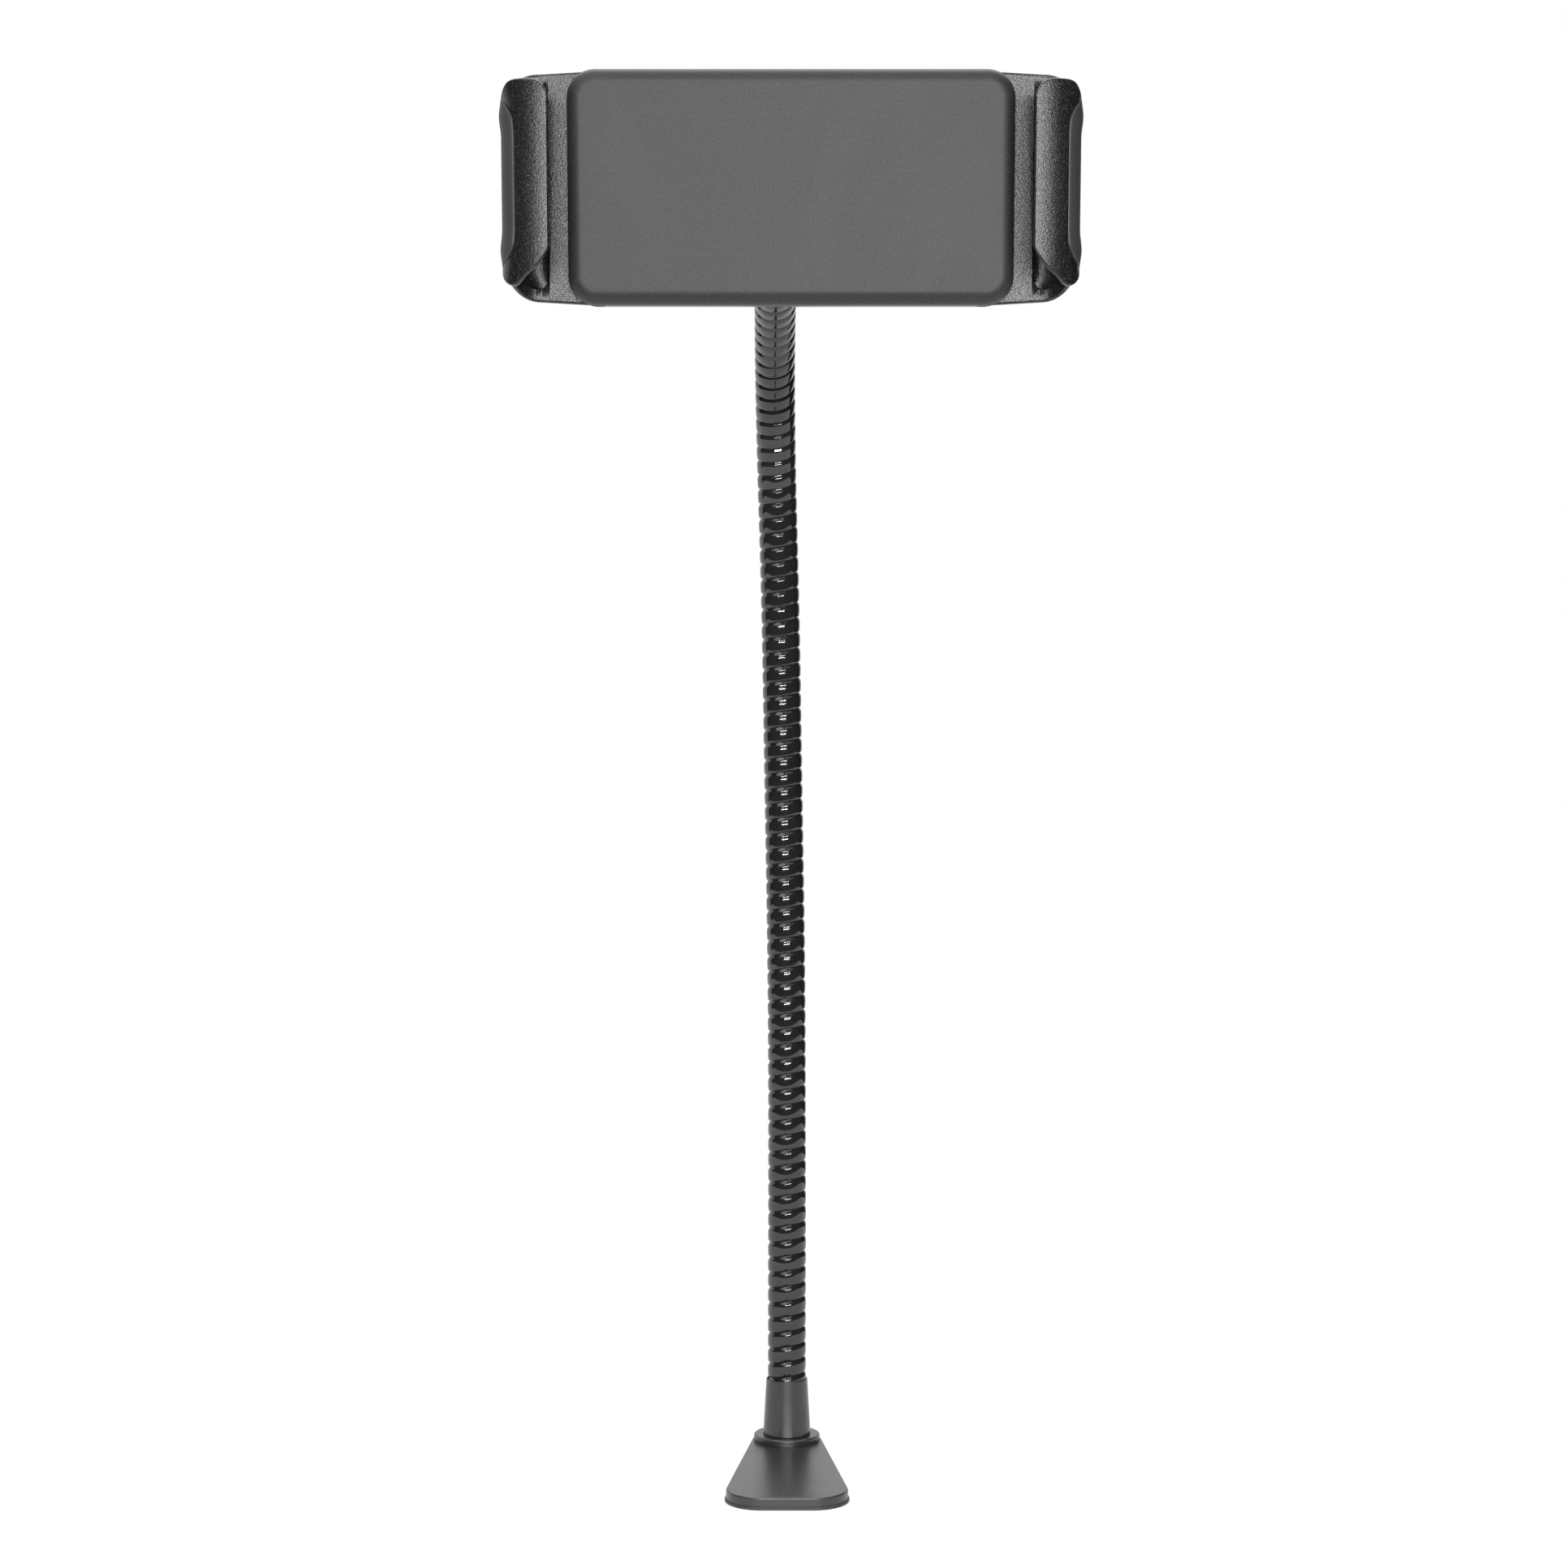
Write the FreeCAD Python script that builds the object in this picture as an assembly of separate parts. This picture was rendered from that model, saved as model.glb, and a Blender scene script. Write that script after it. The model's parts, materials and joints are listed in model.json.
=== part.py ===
# Gooseneck tablet mount: a foot plate, a bent coil neck, a ball joint and a holder with two sprung jaws.
# Millimetres and degrees. +Z is up, the tablet side faces -Y, and the origin is under the neck, on the foot pad.
import FreeCAD
import Part

import math
import os

from FreeCAD import Vector

# Foot
pad_thickness = 1.0
pad_overhang = 0.4
plate_thickness = 2.75
plate_margin = 0.6
plate_edge_round = 0.5
foot_reach = 71.0
foot_front_width = 37.0
foot_corner_radius = 11.0
collar_height = 2.0
collar_ledge = 3.0
collar_groove = 0.35
collar_step = 0.6

# Ferrules at both ends of the neck
ferrule_length = 17.8
ferrule_lip = 0.4
ferrule_flare = 1.0
neck_grip = 12.0
spigot_radius = 4.0

# Screw that holds the lower ferrule on the foot
foot_screw_radius = 2.0
foot_screw_bite = 3.5
foot_screw_head_overlap = 1.0
foot_screw_head_thickness = 1.0

# Neck: a coil of equal turns, stiff in links that bend between them
neck_radius = 6.25
neck_groove = 0.45
neck_groove_share = 0.14
turn_pitch = 4.9
turns_per_link = 12
neck_core_radius = 1.0
bend_limit = 25.0
bend_clearance = 1.0
# Forward lean and sideways sway of the neck at the ends of its links
neck_lean = (0.0, 0.0, 0.3, 1.0, 3.0, 16.0, 58.0, 83.9, 96.3)
neck_sway = (0.0, 0.1, -0.2, -1.0, -0.9, -1.7, 0.2, 1.2, 3.2)

# Ball joint behind the holder
ball_radius = 8.5
stem_radius = 3.6
stem_length = 18.0
stem_seat = 4.5
collet_wall = 1.9
collet_back = 4.4
collet_slit = 1.0
collet_slit_count = 4
socket_floor = 5.0
socket_floor_gap = 0.5
boss_rim = 1.0
boss_wall = 2.4
nut_wall = 2.9
nut_shoulder = 3.5
nut_flare = 2.0
nut_stand_off = 7.0
nut_rib_count = 12
nut_rib_depth = 1.0

# Holder: the angle its face leans down, and how far its ball sits below its middle
holder_tilt = 7.0
ball_drop = 1.5
cover_width = 110.4
cover_height = 57.2
cover_corner_radius = 7.0
cover_depth = 5.7
cover_edge_round = 3.6
cover_wall = 2.0
back_thickness = 3.2
back_edge_round = 1.2
rim_inset = 8.7
post_radius = 2.3
post_inset_x = 7.7
post_inset_z = 11.6
case_screw_radius = 1.2
case_screw_bite = 5.5
case_screw_head_radius = 2.4
case_screw_head_height = 1.5

# Jaws
jaw_reach = 15.4
jaw_plate_thickness = 3.0
jaw_plate_edge = 1.1
jaw_shoulder = 0.6
jaw_end_taper = 1.1
jaw_wall = 2.4
jaw_back_radius = 8.6
jaw_front_radius = 7.0
jaw_corner_radius = 8.0
jaw_floor_drop = 1.4
jaw_step_margin = 4.0
lip_rise = 12.8
lip_fall = 0.2
lip_thickness = 2.2
lip_overlap = 12.0
lip_setback = 2.7
lip_corner_radius = 6.0
lip_edge_round = 0.8
jaw_inner_gap = 1.0
post_slot_bridge = 1.9

# Soft grips in the outer walls of the jaws
grip_depth = 1.2
grip_bulge = 0.45
grip_half_height = 20.4
grip_bulge_height = 16.0
grip_waist_height = 11.0
grip_front_inset = 1.9
grip_back_inset = 4.6
grip_corner_radius = 6.5

# Springs that pull the jaws together
spring_wire_radius = 0.3
spring_radius = 1.3
spring_turns = 20
spring_lane = 9.0
spring_plug_length = 3.0
spring_tab_thickness = 1.6
spring_end_room = 9.2

# Clearances
running_clearance = 0.05
grip_clearance = 0.05
seat_gap = 0.1
turn_clearance = 0.1
slide_clearance = 0.3
thread_clearance = 0.05
head_room = 0.2

ORIGIN = Vector(0, 0, 0)
X_AXIS = Vector(1, 0, 0)
Y_AXIS = Vector(0, 1, 0)
Z_AXIS = Vector(0, 0, 1)


# Levels up the foot
plate_top = pad_thickness + plate_thickness
collar_top = plate_top + collar_height
ferrule_bottom = collar_top + seat_gap
ferrule_floor = ferrule_length - neck_grip
neck_start = Vector(0, 0, ferrule_bottom + ferrule_floor)
screw_head_top = pad_thickness + head_room + foot_screw_head_thickness
plate_shelf = screw_head_top + running_clearance

# Radii around the neck
bore_radius = neck_radius + grip_clearance
ferrule_mouth_radius = bore_radius + ferrule_lip
ferrule_base_radius = ferrule_mouth_radius + ferrule_flare
collar_radius = ferrule_base_radius + collar_ledge
foot_back_radius = collar_radius + plate_margin

# Neck lengths
link_count = len(neck_lean) - 1
link_length = turns_per_link * turn_pitch
neck_length = link_count * link_length

# Depths through the holder, from its front face at 0 back to the ball's centre
plate_front = cover_depth + slide_clearance
plate_back = plate_front + jaw_plate_thickness
back_front = plate_back + slide_clearance
back_rear = back_front + back_thickness
ball_cup_radius = ball_radius + turn_clearance
socket_depth = ball_radius + socket_floor_gap
ball_depth = back_rear + socket_floor + socket_depth

# Radii around the ball
collet_radius = ball_cup_radius + collet_wall
boss_bore = collet_radius + turn_clearance
boss_radius = boss_bore + boss_wall
nut_bore = boss_radius + turn_clearance
nut_radius = nut_bore + nut_wall

# Places across the holder
plate_half_height = cover_height / 2 - jaw_plate_edge
jaw_end_half_height = plate_half_height + jaw_shoulder - jaw_end_taper
lip_half_height = jaw_end_half_height - lip_setback
post_x = cover_width / 2 - post_inset_x
post_z = cover_height / 2 - post_inset_z
rim_width = cover_width - 2 * rim_inset
jaw_half_span = cover_width / 2 + jaw_reach
lip_inner = jaw_half_span - lip_overlap
post_slot_half = post_radius + slide_clearance
jaw_travel = post_x - post_slot_half - post_slot_bridge - jaw_inner_gap
spring_seat_x = cover_width / 2 - spring_end_room


# Plain solids

def cylinder(radius, low, high, axis=Z_AXIS, at=ORIGIN):
    """A round bar from low to high along axis, measured from the point at."""
    return Part.makeCylinder(radius, high - low, at + axis * low, axis)


def box(low, high):
    """A box between two corners."""
    size = [b - a for a, b in zip(low, high)]
    return Part.makeBox(size[0], size[1], size[2], Vector(*low))


def circle_wire(radius, centre, normal):
    """A round wire about a centre."""
    return Part.Wire(Part.makeCircle(radius, centre, normal))


def turned(points, arc_mid=None):
    """A solid turned about Z from (radius, height) points; arc_mid bends the last side into an arc."""
    corners = [Vector(radius, 0, height) for radius, height in points]
    edges = [Part.makeLine(a, b) for a, b in zip(corners, corners[1:])]
    if arc_mid is None:
        edges.append(Part.makeLine(corners[-1], corners[0]))
    else:
        middle = Vector(arc_mid[0], 0, arc_mid[1])
        edges.append(Part.Arc(corners[-1], middle, corners[0]).toShape())
    return Part.Face(Part.Wire(edges)).revolve(ORIGIN, Z_AXIS, 360)


def rounded_rectangle(width, height, radius, y):
    """A face with round corners in the plane at y, centred on X and Z."""
    half_x = width / 2 - radius
    half_z = height / 2 - radius
    centres = [(half_x, half_z), (-half_x, half_z), (-half_x, -half_z), (half_x, -half_z)]
    edges = []
    for turn, (cx, cz) in enumerate(centres):
        points = []
        for step in range(3):
            angle = math.radians(90 * turn + 45 * step)
            points.append(Vector(cx + radius * math.cos(angle), y, cz + radius * math.sin(angle)))
        edges.append(Part.Arc(*points).toShape())
    sides = [Part.makeLine(a.lastVertex().Point, b.firstVertex().Point)
             for a, b in zip(edges, edges[1:] + edges[:1])]
    loop = [edge for pair in zip(edges, sides) for edge in pair]
    return Part.Face(Part.Wire(loop))


def edges_at(shape, axis, value):
    """The edges that lie in the plane where the axis (0, 1 or 2) has a value."""
    found = []
    for edge in shape.Edges:
        bounds = edge.BoundBox
        low = (bounds.XMin, bounds.YMin, bounds.ZMin)[axis]
        high = (bounds.XMax, bounds.YMax, bounds.ZMax)[axis]
        if abs(low - value) < 1e-4 and abs(high - value) < 1e-4:
            found.append(edge)
    return found


# Foot

def foot_outline(grow, height):
    """The foot's plan, pulled tight around a round back end and two front corners, at a height."""
    corner = Vector(foot_front_width / 2 - foot_corner_radius, foot_corner_radius - foot_reach, 0)
    back_radius = foot_back_radius + grow
    front_radius = foot_corner_radius + grow
    reach = corner.Length
    side_turn = math.atan2(corner.y, corner.x) + math.acos((back_radius - front_radius) / reach)
    side = Vector(math.cos(side_turn), math.sin(side_turn), 0)
    lift = Vector(0, 0, height)

    def mirrored(point):
        return Vector(-point.x, point.y, point.z)

    back_right = side * back_radius + lift
    front_right = corner + side * front_radius + lift
    front_low = corner + Vector(0, -front_radius, 0) + lift
    corner_turn = (side_turn - math.pi / 2) / 2
    bulge = Vector(math.cos(corner_turn), math.sin(corner_turn), 0)
    corner_mid = corner + bulge * front_radius + lift
    back_mid = Vector(0, back_radius, 0) + lift
    edges = [
        Part.Arc(back_right, back_mid, mirrored(back_right)).toShape(),
        Part.makeLine(mirrored(back_right), mirrored(front_right)),
        Part.Arc(mirrored(front_right), mirrored(corner_mid), mirrored(front_low)).toShape(),
        Part.makeLine(mirrored(front_low), front_low),
        Part.Arc(front_low, corner_mid, front_right).toShape(),
        Part.makeLine(front_right, back_right),
    ]
    return Part.Face(Part.Wire(edges))


def make_foot_pad():
    """A thin pad, a little larger than the plate."""
    return foot_outline(pad_overhang, 0).extrude(Z_AXIS * pad_thickness)


def make_foot_plate():
    """The tongue, bored for the ferrule's spigot and recessed below for the screw's head."""
    plate = foot_outline(0, pad_thickness).extrude(Z_AXIS * plate_thickness)
    plate = plate.makeFillet(plate_edge_round, edges_at(plate, 2, plate_top))
    plate = plate.cut(cylinder(spigot_radius + running_clearance, pad_thickness, plate_top))
    head_radius = spigot_radius + foot_screw_head_overlap
    return plate.cut(cylinder(head_radius + head_room, pad_thickness, plate_shelf))


def make_foot_collar():
    """A low flange in two steps, with a groove between them."""
    hole = spigot_radius + running_clearance
    waist = collar_radius - collar_groove
    groove_low = plate_top + collar_step
    groove_high = groove_low + collar_groove
    bevel = collar_groove
    return turned([
        (hole, plate_top), (collar_radius, plate_top), (collar_radius, groove_low),
        (waist, groove_low), (waist, groove_high), (collar_radius, groove_high),
        (collar_radius, collar_top - bevel), (collar_radius - bevel, collar_top), (hole, collar_top),
    ])


def make_ferrule():
    """A tapered sleeve with its wide base at 0 and the neck's bore in its mouth."""
    sleeve = Part.makeCone(ferrule_base_radius, ferrule_mouth_radius, ferrule_length)
    return sleeve.cut(cylinder(bore_radius, ferrule_floor, ferrule_length))


def make_lower_ferrule():
    """A ferrule on a spigot that turns in the foot, tapped for the screw."""
    ferrule = make_ferrule()
    spigot_end = screw_head_top - ferrule_bottom
    ferrule = ferrule.fuse(cylinder(spigot_radius, spigot_end, 0)).removeSplitter()
    tapped = cylinder(foot_screw_radius + thread_clearance, spigot_end, foot_screw_bite + head_room)
    ferrule = ferrule.cut(tapped)
    ferrule.translate(Vector(0, 0, ferrule_bottom))
    return ferrule


def make_foot_screw():
    """A flat-headed screw, up through the foot into the ferrule, with a cross slot in its head."""
    head_low = screw_head_top - foot_screw_head_thickness
    head = cylinder(spigot_radius + foot_screw_head_overlap, head_low, screw_head_top)
    screw = head.fuse(cylinder(foot_screw_radius, screw_head_top, ferrule_bottom + foot_screw_bite))
    slot_half = foot_screw_radius
    slot_width = foot_screw_radius / 3
    slot_top = head_low + foot_screw_head_thickness / 2
    for half_x, half_y in ((slot_half, slot_width / 2), (slot_width / 2, slot_half)):
        screw = screw.cut(box((-half_x, -half_y, head_low), (half_x, half_y, slot_top)))
    return screw.removeSplitter()


# Neck

def neck_angle(angles, distance):
    """Lean or sway at a distance along the neck: even from link to link, and straight in the last ferrule."""
    stations = [link * link_length for link in range(link_count)]
    stations += [neck_length - neck_grip]
    for start, end, first, last in zip(stations, stations[1:], angles, angles[1:]):
        if distance < end:
            return first + (last - first) * (distance - start) / (end - start)
    return angles[-1]


def neck_direction(distance):
    """The way the neck points at a distance along it."""
    lean = math.radians(neck_angle(neck_lean, distance))
    sway = math.radians(neck_angle(neck_sway, distance))
    return Vector(math.sin(sway), -math.sin(lean) * math.cos(sway), math.cos(lean) * math.cos(sway))


def neck_point(distance):
    """The middle of the neck at a distance along it, added up in short straight steps."""
    steps = max(1, math.ceil(distance))
    length = distance / steps
    point = Vector(neck_start)
    for step in range(steps):
        point += neck_direction((step + 0.5) * length) * length
    return point


def neck_ring(distance, radius):
    """A round section of the neck."""
    return circle_wire(radius, neck_point(distance), neck_direction(distance))


def make_neck_link(index):
    """One stiff length of the coil, with a groove at each turn and cone ends where it bends."""
    start = index * link_length
    end = start + link_length
    cone = math.tan(math.radians(bend_limit / 2 + bend_clearance))
    groove_radius = neck_radius - neck_groove
    tip = neck_core_radius * cone + running_clearance
    rim = groove_radius * cone + running_clearance
    sections = []
    if index > 0:
        sections.append((start + tip, neck_core_radius))
        sections.append((start + rim, groove_radius))
    else:
        sections.append((start, groove_radius))
    half_groove = turn_pitch * neck_groove_share
    for turn in range(turns_per_link):
        low = start + turn * turn_pitch
        high = low + turn_pitch
        band_low = max(low + half_groove, sections[-1][0] + half_groove)
        band_high = high - half_groove
        last_turn = turn == turns_per_link - 1
        if last_turn and index < link_count - 1:
            band_high = end - rim - half_groove
        sections.append((band_low, neck_radius))
        sections.append((band_high, neck_radius))
        if not last_turn:
            sections.append((high, groove_radius))
    if index < link_count - 1:
        sections.append((end - rim, groove_radius))
        sections.append((end - tip, neck_core_radius))
    else:
        sections.append((end, groove_radius))
    return Part.makeLoft([neck_ring(*section) for section in sections], True, True)


neck_end = neck_point(neck_length)
end_direction = neck_direction(neck_length)
ferrule_face = neck_end + end_direction * ferrule_floor
ball_centre = ferrule_face + end_direction * stem_length


def set_on_neck_end(shape, direction):
    """Places a shape made along Z at the outer face of the upper ferrule."""
    shape.Placement = FreeCAD.Placement(ferrule_face, FreeCAD.Rotation(Z_AXIS, direction))
    return shape


def make_upper_ferrule():
    """The same sleeve at the top of the neck, bored for the ball's stem."""
    ferrule = make_ferrule().cut(cylinder(stem_radius + running_clearance, 0, stem_seat))
    return set_on_neck_end(ferrule, end_direction * -1)


def make_ball_stud():
    """A ball on a stem that turns in the upper ferrule."""
    ball = Part.makeSphere(ball_radius, Vector(0, 0, stem_length))
    stud = ball.fuse(cylinder(stem_radius, seat_gap - stem_seat, stem_length)).removeSplitter()
    return set_on_neck_end(stud, end_direction)


# Holder, made upright with its front face at Y 0 and set on the ball afterwards

def set_on_ball(shape):
    """Moves a holder piece from its upright frame to its place on the ball."""
    shape.translate(Vector(0, -ball_depth, ball_drop))
    shape.rotate(ORIGIN, X_AXIS, holder_tilt)
    shape.translate(ball_centre)
    return shape


def set_in_socket(shape):
    """Turns a shape made along Z, with the ball's centre at 0, to lie along Y in the holder's frame."""
    shape.rotate(ORIGIN, X_AXIS, -90)
    shape.translate(Vector(0, ball_depth, -ball_drop))
    return shape


def make_socket_collet():
    """A split ring that cups the ball, with a flange that seats on the boss."""
    front = -socket_depth + socket_floor_gap + seat_gap
    cup_front = -ball_cup_radius * 0.8
    mouth = math.sqrt(ball_cup_radius ** 2 - collet_back ** 2)
    throat = math.sqrt(ball_cup_radius ** 2 - cup_front ** 2)
    flange_radius = boss_radius - seat_gap
    flange_low = boss_rim + seat_gap
    collet = turned(
        [(throat, cup_front), (throat, front), (collet_radius, front), (collet_radius, flange_low),
         (flange_radius, flange_low), (flange_radius, collet_back), (mouth, collet_back)],
        arc_mid=(ball_cup_radius, 0))
    for slit in range(collet_slit_count):
        cutter = box((0, -collet_slit / 2, flange_low / 2), (boss_radius, collet_slit / 2, collet_back))
        cutter.rotate(ORIGIN, Z_AXIS, 360 * slit / collet_slit_count)
        collet = collet.cut(cutter)
    return set_in_socket(collet)


def make_lock_nut():
    """A ribbed ring nut that draws the collet onto the boss and leaves the stem room to tilt."""
    front = nut_stand_off - socket_floor - socket_depth
    shoulder = collet_back + seat_gap
    back = shoulder + nut_shoulder
    mouth = math.sqrt(ball_cup_radius ** 2 - collet_back ** 2)
    bevel = nut_rib_depth
    nut = turned([
        (nut_bore, front), (nut_radius - bevel, front), (nut_radius, front + bevel),
        (nut_radius, back - bevel), (nut_radius - bevel, back), (mouth + nut_flare, back),
        (mouth, shoulder), (nut_bore, shoulder),
    ])
    rib_width = math.pi * nut_radius / nut_rib_count
    scoop_radius = rib_width / 2
    for rib in range(nut_rib_count):
        angle = 2 * math.pi * rib / nut_rib_count
        reach = nut_radius + scoop_radius - nut_rib_depth
        centre = Vector(reach * math.cos(angle), reach * math.sin(angle), 0)
        nut = nut.cut(cylinder(scoop_radius, front, back, at=centre))
    return set_in_socket(nut)


def post_places():
    """The four places of the screw posts, as (x, z)."""
    return [(side * post_x, level * post_z) for side in (-1, 1) for level in (-1, 1)]


def spring_height(side):
    """Each spring has its own lane: the left jaw's runs above the middle, the right jaw's below."""
    return -side * spring_lane


def spring_depth():
    """The springs' axis, midway between the front wall and the jaws' plates."""
    return (cover_wall + plate_front) / 2


def make_spring_seat(side):
    """A rib across the cover's cavity, far from the jaw that it serves, with a plug for the spring's end."""
    outer = -side * (spring_seat_x + spring_tab_thickness)
    inner = -side * spring_seat_x
    half = spring_radius + spring_wire_radius
    height = spring_height(side)
    rib = box((min(outer, inner), cover_wall / 2, height - half),
              (max(outer, inner), cover_depth, height + half))
    axis = Vector(side, 0, 0)
    plug_radius = spring_radius - spring_wire_radius - turn_clearance
    plug = cylinder(plug_radius, 0, spring_plug_length, axis, Vector(inner, spring_depth(), height))
    return rib.fuse(plug)


def make_front_cover():
    """The block that the tablet leans on: a shell open behind, with screw posts and spring seats."""
    block = rounded_rectangle(cover_width, cover_height, cover_corner_radius, 0)
    block = block.extrude(Y_AXIS * cover_depth)
    block = block.makeFillet(cover_edge_round, edges_at(block, 1, 0))
    inner_radius = cover_corner_radius - cover_wall
    cavity = rounded_rectangle(cover_width - 2 * cover_wall, cover_height - 2 * cover_wall,
                               inner_radius, cover_wall)
    cover = block.cut(cavity.extrude(Y_AXIS * cover_depth))
    for x, z in post_places():
        cover = cover.fuse(cylinder(post_radius, cover_wall / 2, back_front, Y_AXIS, Vector(x, 0, z)))
    for side in (-1, 1):
        cover = cover.fuse(make_spring_seat(side))
    for x, z in post_places():
        pilot = cylinder(case_screw_radius + thread_clearance, back_front - case_screw_bite - head_room,
                         back_front, Y_AXIS, Vector(x, 0, z))
        cover = cover.cut(pilot)
    return set_on_ball(cover.removeSplitter())


def make_back_cover():
    """The rear plate, with rims that close the slide's slot and a threaded boss for the ball joint."""
    plate = rounded_rectangle(cover_width, cover_height, cover_corner_radius, back_front)
    plate = plate.extrude(Y_AXIS * back_thickness)
    plate = plate.makeFillet(back_edge_round, edges_at(plate, 1, back_rear))
    rim_low = plate_half_height + slide_clearance / 2
    for level in (-1, 1):
        low, high = sorted((level * rim_low, level * cover_height / 2))
        rim = box((-rim_width / 2, cover_depth + seat_gap, low), (rim_width / 2, back_front, high))
        plate = plate.fuse(rim)
    ball = Vector(0, ball_depth, -ball_drop)
    plate = plate.fuse(cylinder(boss_radius, back_rear - ball_depth, boss_rim, Y_AXIS, ball))
    plate = plate.cut(cylinder(boss_bore, -socket_depth, boss_rim, Y_AXIS, ball))
    for x, z in post_places():
        at = Vector(x, 0, z)
        recess = back_rear - case_screw_head_height
        plate = plate.cut(cylinder(case_screw_radius + turn_clearance, back_front, back_rear, Y_AXIS, at))
        plate = plate.cut(cylinder(case_screw_head_radius + turn_clearance, recess, back_rear, Y_AXIS, at))
    return set_on_ball(plate.removeSplitter())


def make_case_screws():
    """Four pan-headed screws, sunk in the back cover."""
    screws = []
    for x, z in post_places():
        at = Vector(x, 0, z)
        head_low = back_rear - case_screw_head_height
        head = cylinder(case_screw_head_radius, head_low, back_rear, Y_AXIS, at)
        shank = cylinder(case_screw_radius, back_front - case_screw_bite, head_low, Y_AXIS, at)
        slot = box((x - case_screw_radius, back_rear - case_screw_head_height / 2, z - turn_clearance * 2),
                   (x + case_screw_radius, back_rear, z + turn_clearance * 2))
        screws.append(set_on_ball(head.fuse(shank).cut(slot).removeSplitter()))
    return Part.makeCompound(screws)


# Jaws, made for the right side; the left is its mirror image

def jaw_envelope(grow):
    """The outer form of the hook in plan, filled, moved out by grow, as tall as the cover."""
    outer = jaw_half_span + grow
    back = plate_back + grow
    front = -lip_rise - grow
    back_radius = jaw_back_radius + grow
    front_radius = jaw_front_radius + grow
    bevel = math.sqrt(0.5)
    back_centre = Vector(outer - back_radius, back - back_radius, 0)
    front_centre = Vector(outer - front_radius, front + front_radius, 0)
    inner_back = Vector(0, back, 0)
    inner_front = Vector(0, front, 0)
    back_low = back_centre + Vector(0, back_radius, 0)
    back_mid = back_centre + Vector(back_radius * bevel, back_radius * bevel, 0)
    back_high = back_centre + Vector(back_radius, 0, 0)
    front_low = front_centre + Vector(front_radius, 0, 0)
    front_mid = front_centre + Vector(front_radius * bevel, -front_radius * bevel, 0)
    front_high = front_centre + Vector(0, -front_radius, 0)
    edges = [
        Part.makeLine(inner_back, back_low), Part.Arc(back_low, back_mid, back_high).toShape(),
        Part.makeLine(back_high, front_low), Part.Arc(front_low, front_mid, front_high).toShape(),
        Part.makeLine(front_high, inner_front), Part.makeLine(inner_front, inner_back),
    ]
    face = Part.Face(Part.Wire(edges))
    face.translate(Vector(0, 0, -cover_height / 2))
    return face.extrude(Z_AXIS * cover_height)


def jaw_section():
    """The hook's wall in plan: sliding plate, floor, outer wall and lip."""
    bevel = math.sqrt(0.5)
    wall_x = jaw_half_span - jaw_wall
    floor_y = plate_front + jaw_floor_drop
    step_x = cover_width / 2 + jaw_step_margin
    floor_radius = jaw_back_radius - jaw_wall
    bend_radius = jaw_front_radius - jaw_wall
    back_centre = Vector(jaw_half_span - jaw_back_radius, plate_back - jaw_back_radius, 0)
    floor_centre = Vector(wall_x - floor_radius, floor_y - floor_radius, 0)
    front_centre = Vector(jaw_half_span - jaw_front_radius, jaw_front_radius - lip_rise, 0)
    lip_front = Vector(lip_inner + lip_edge_round, lip_fall - lip_rise, 0)
    lip_back = lip_front + Vector(0, lip_thickness, 0)
    lip_tip = Vector(lip_inner, lip_front.y + lip_thickness / 2, 0)

    def bend(centre, radius, x, y):
        return centre + Vector(x * radius, y * radius, 0)

    def arc(centre, radius, first, middle, last):
        points = [bend(centre, radius, *place) for place in (first, middle, last)]
        return Part.Arc(*points).toShape()

    rear, right, fore = (0, 1), (1, 0), (0, -1)
    rear_mid, fore_mid = (bevel, bevel), (bevel, -bevel)
    plate_inner_back = Vector(jaw_inner_gap, plate_back, 0)
    plate_inner_front = Vector(jaw_inner_gap, plate_front, 0)
    step_low = Vector(step_x, floor_y, 0)
    step_high = Vector(step_x, plate_front, 0)
    edges = [
        Part.makeLine(plate_inner_back, bend(back_centre, jaw_back_radius, *rear)),
        arc(back_centre, jaw_back_radius, rear, rear_mid, right),
        Part.makeLine(bend(back_centre, jaw_back_radius, *right),
                      bend(front_centre, jaw_front_radius, *right)),
        arc(front_centre, jaw_front_radius, right, fore_mid, fore),
        Part.makeLine(bend(front_centre, jaw_front_radius, *fore), lip_front),
        Part.Arc(lip_front, lip_tip, lip_back).toShape(),
        Part.makeLine(lip_back, bend(front_centre, bend_radius, *fore)),
        arc(front_centre, bend_radius, fore, fore_mid, right),
        Part.makeLine(bend(front_centre, bend_radius, *right), bend(floor_centre, floor_radius, *right)),
        arc(floor_centre, floor_radius, right, rear_mid, rear),
        Part.makeLine(bend(floor_centre, floor_radius, *rear), step_low),
        Part.makeLine(step_low, step_high),
        Part.makeLine(step_high, plate_inner_front),
        Part.makeLine(plate_inner_front, plate_inner_back),
    ]
    return Part.Face(Part.Wire(edges))


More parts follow.
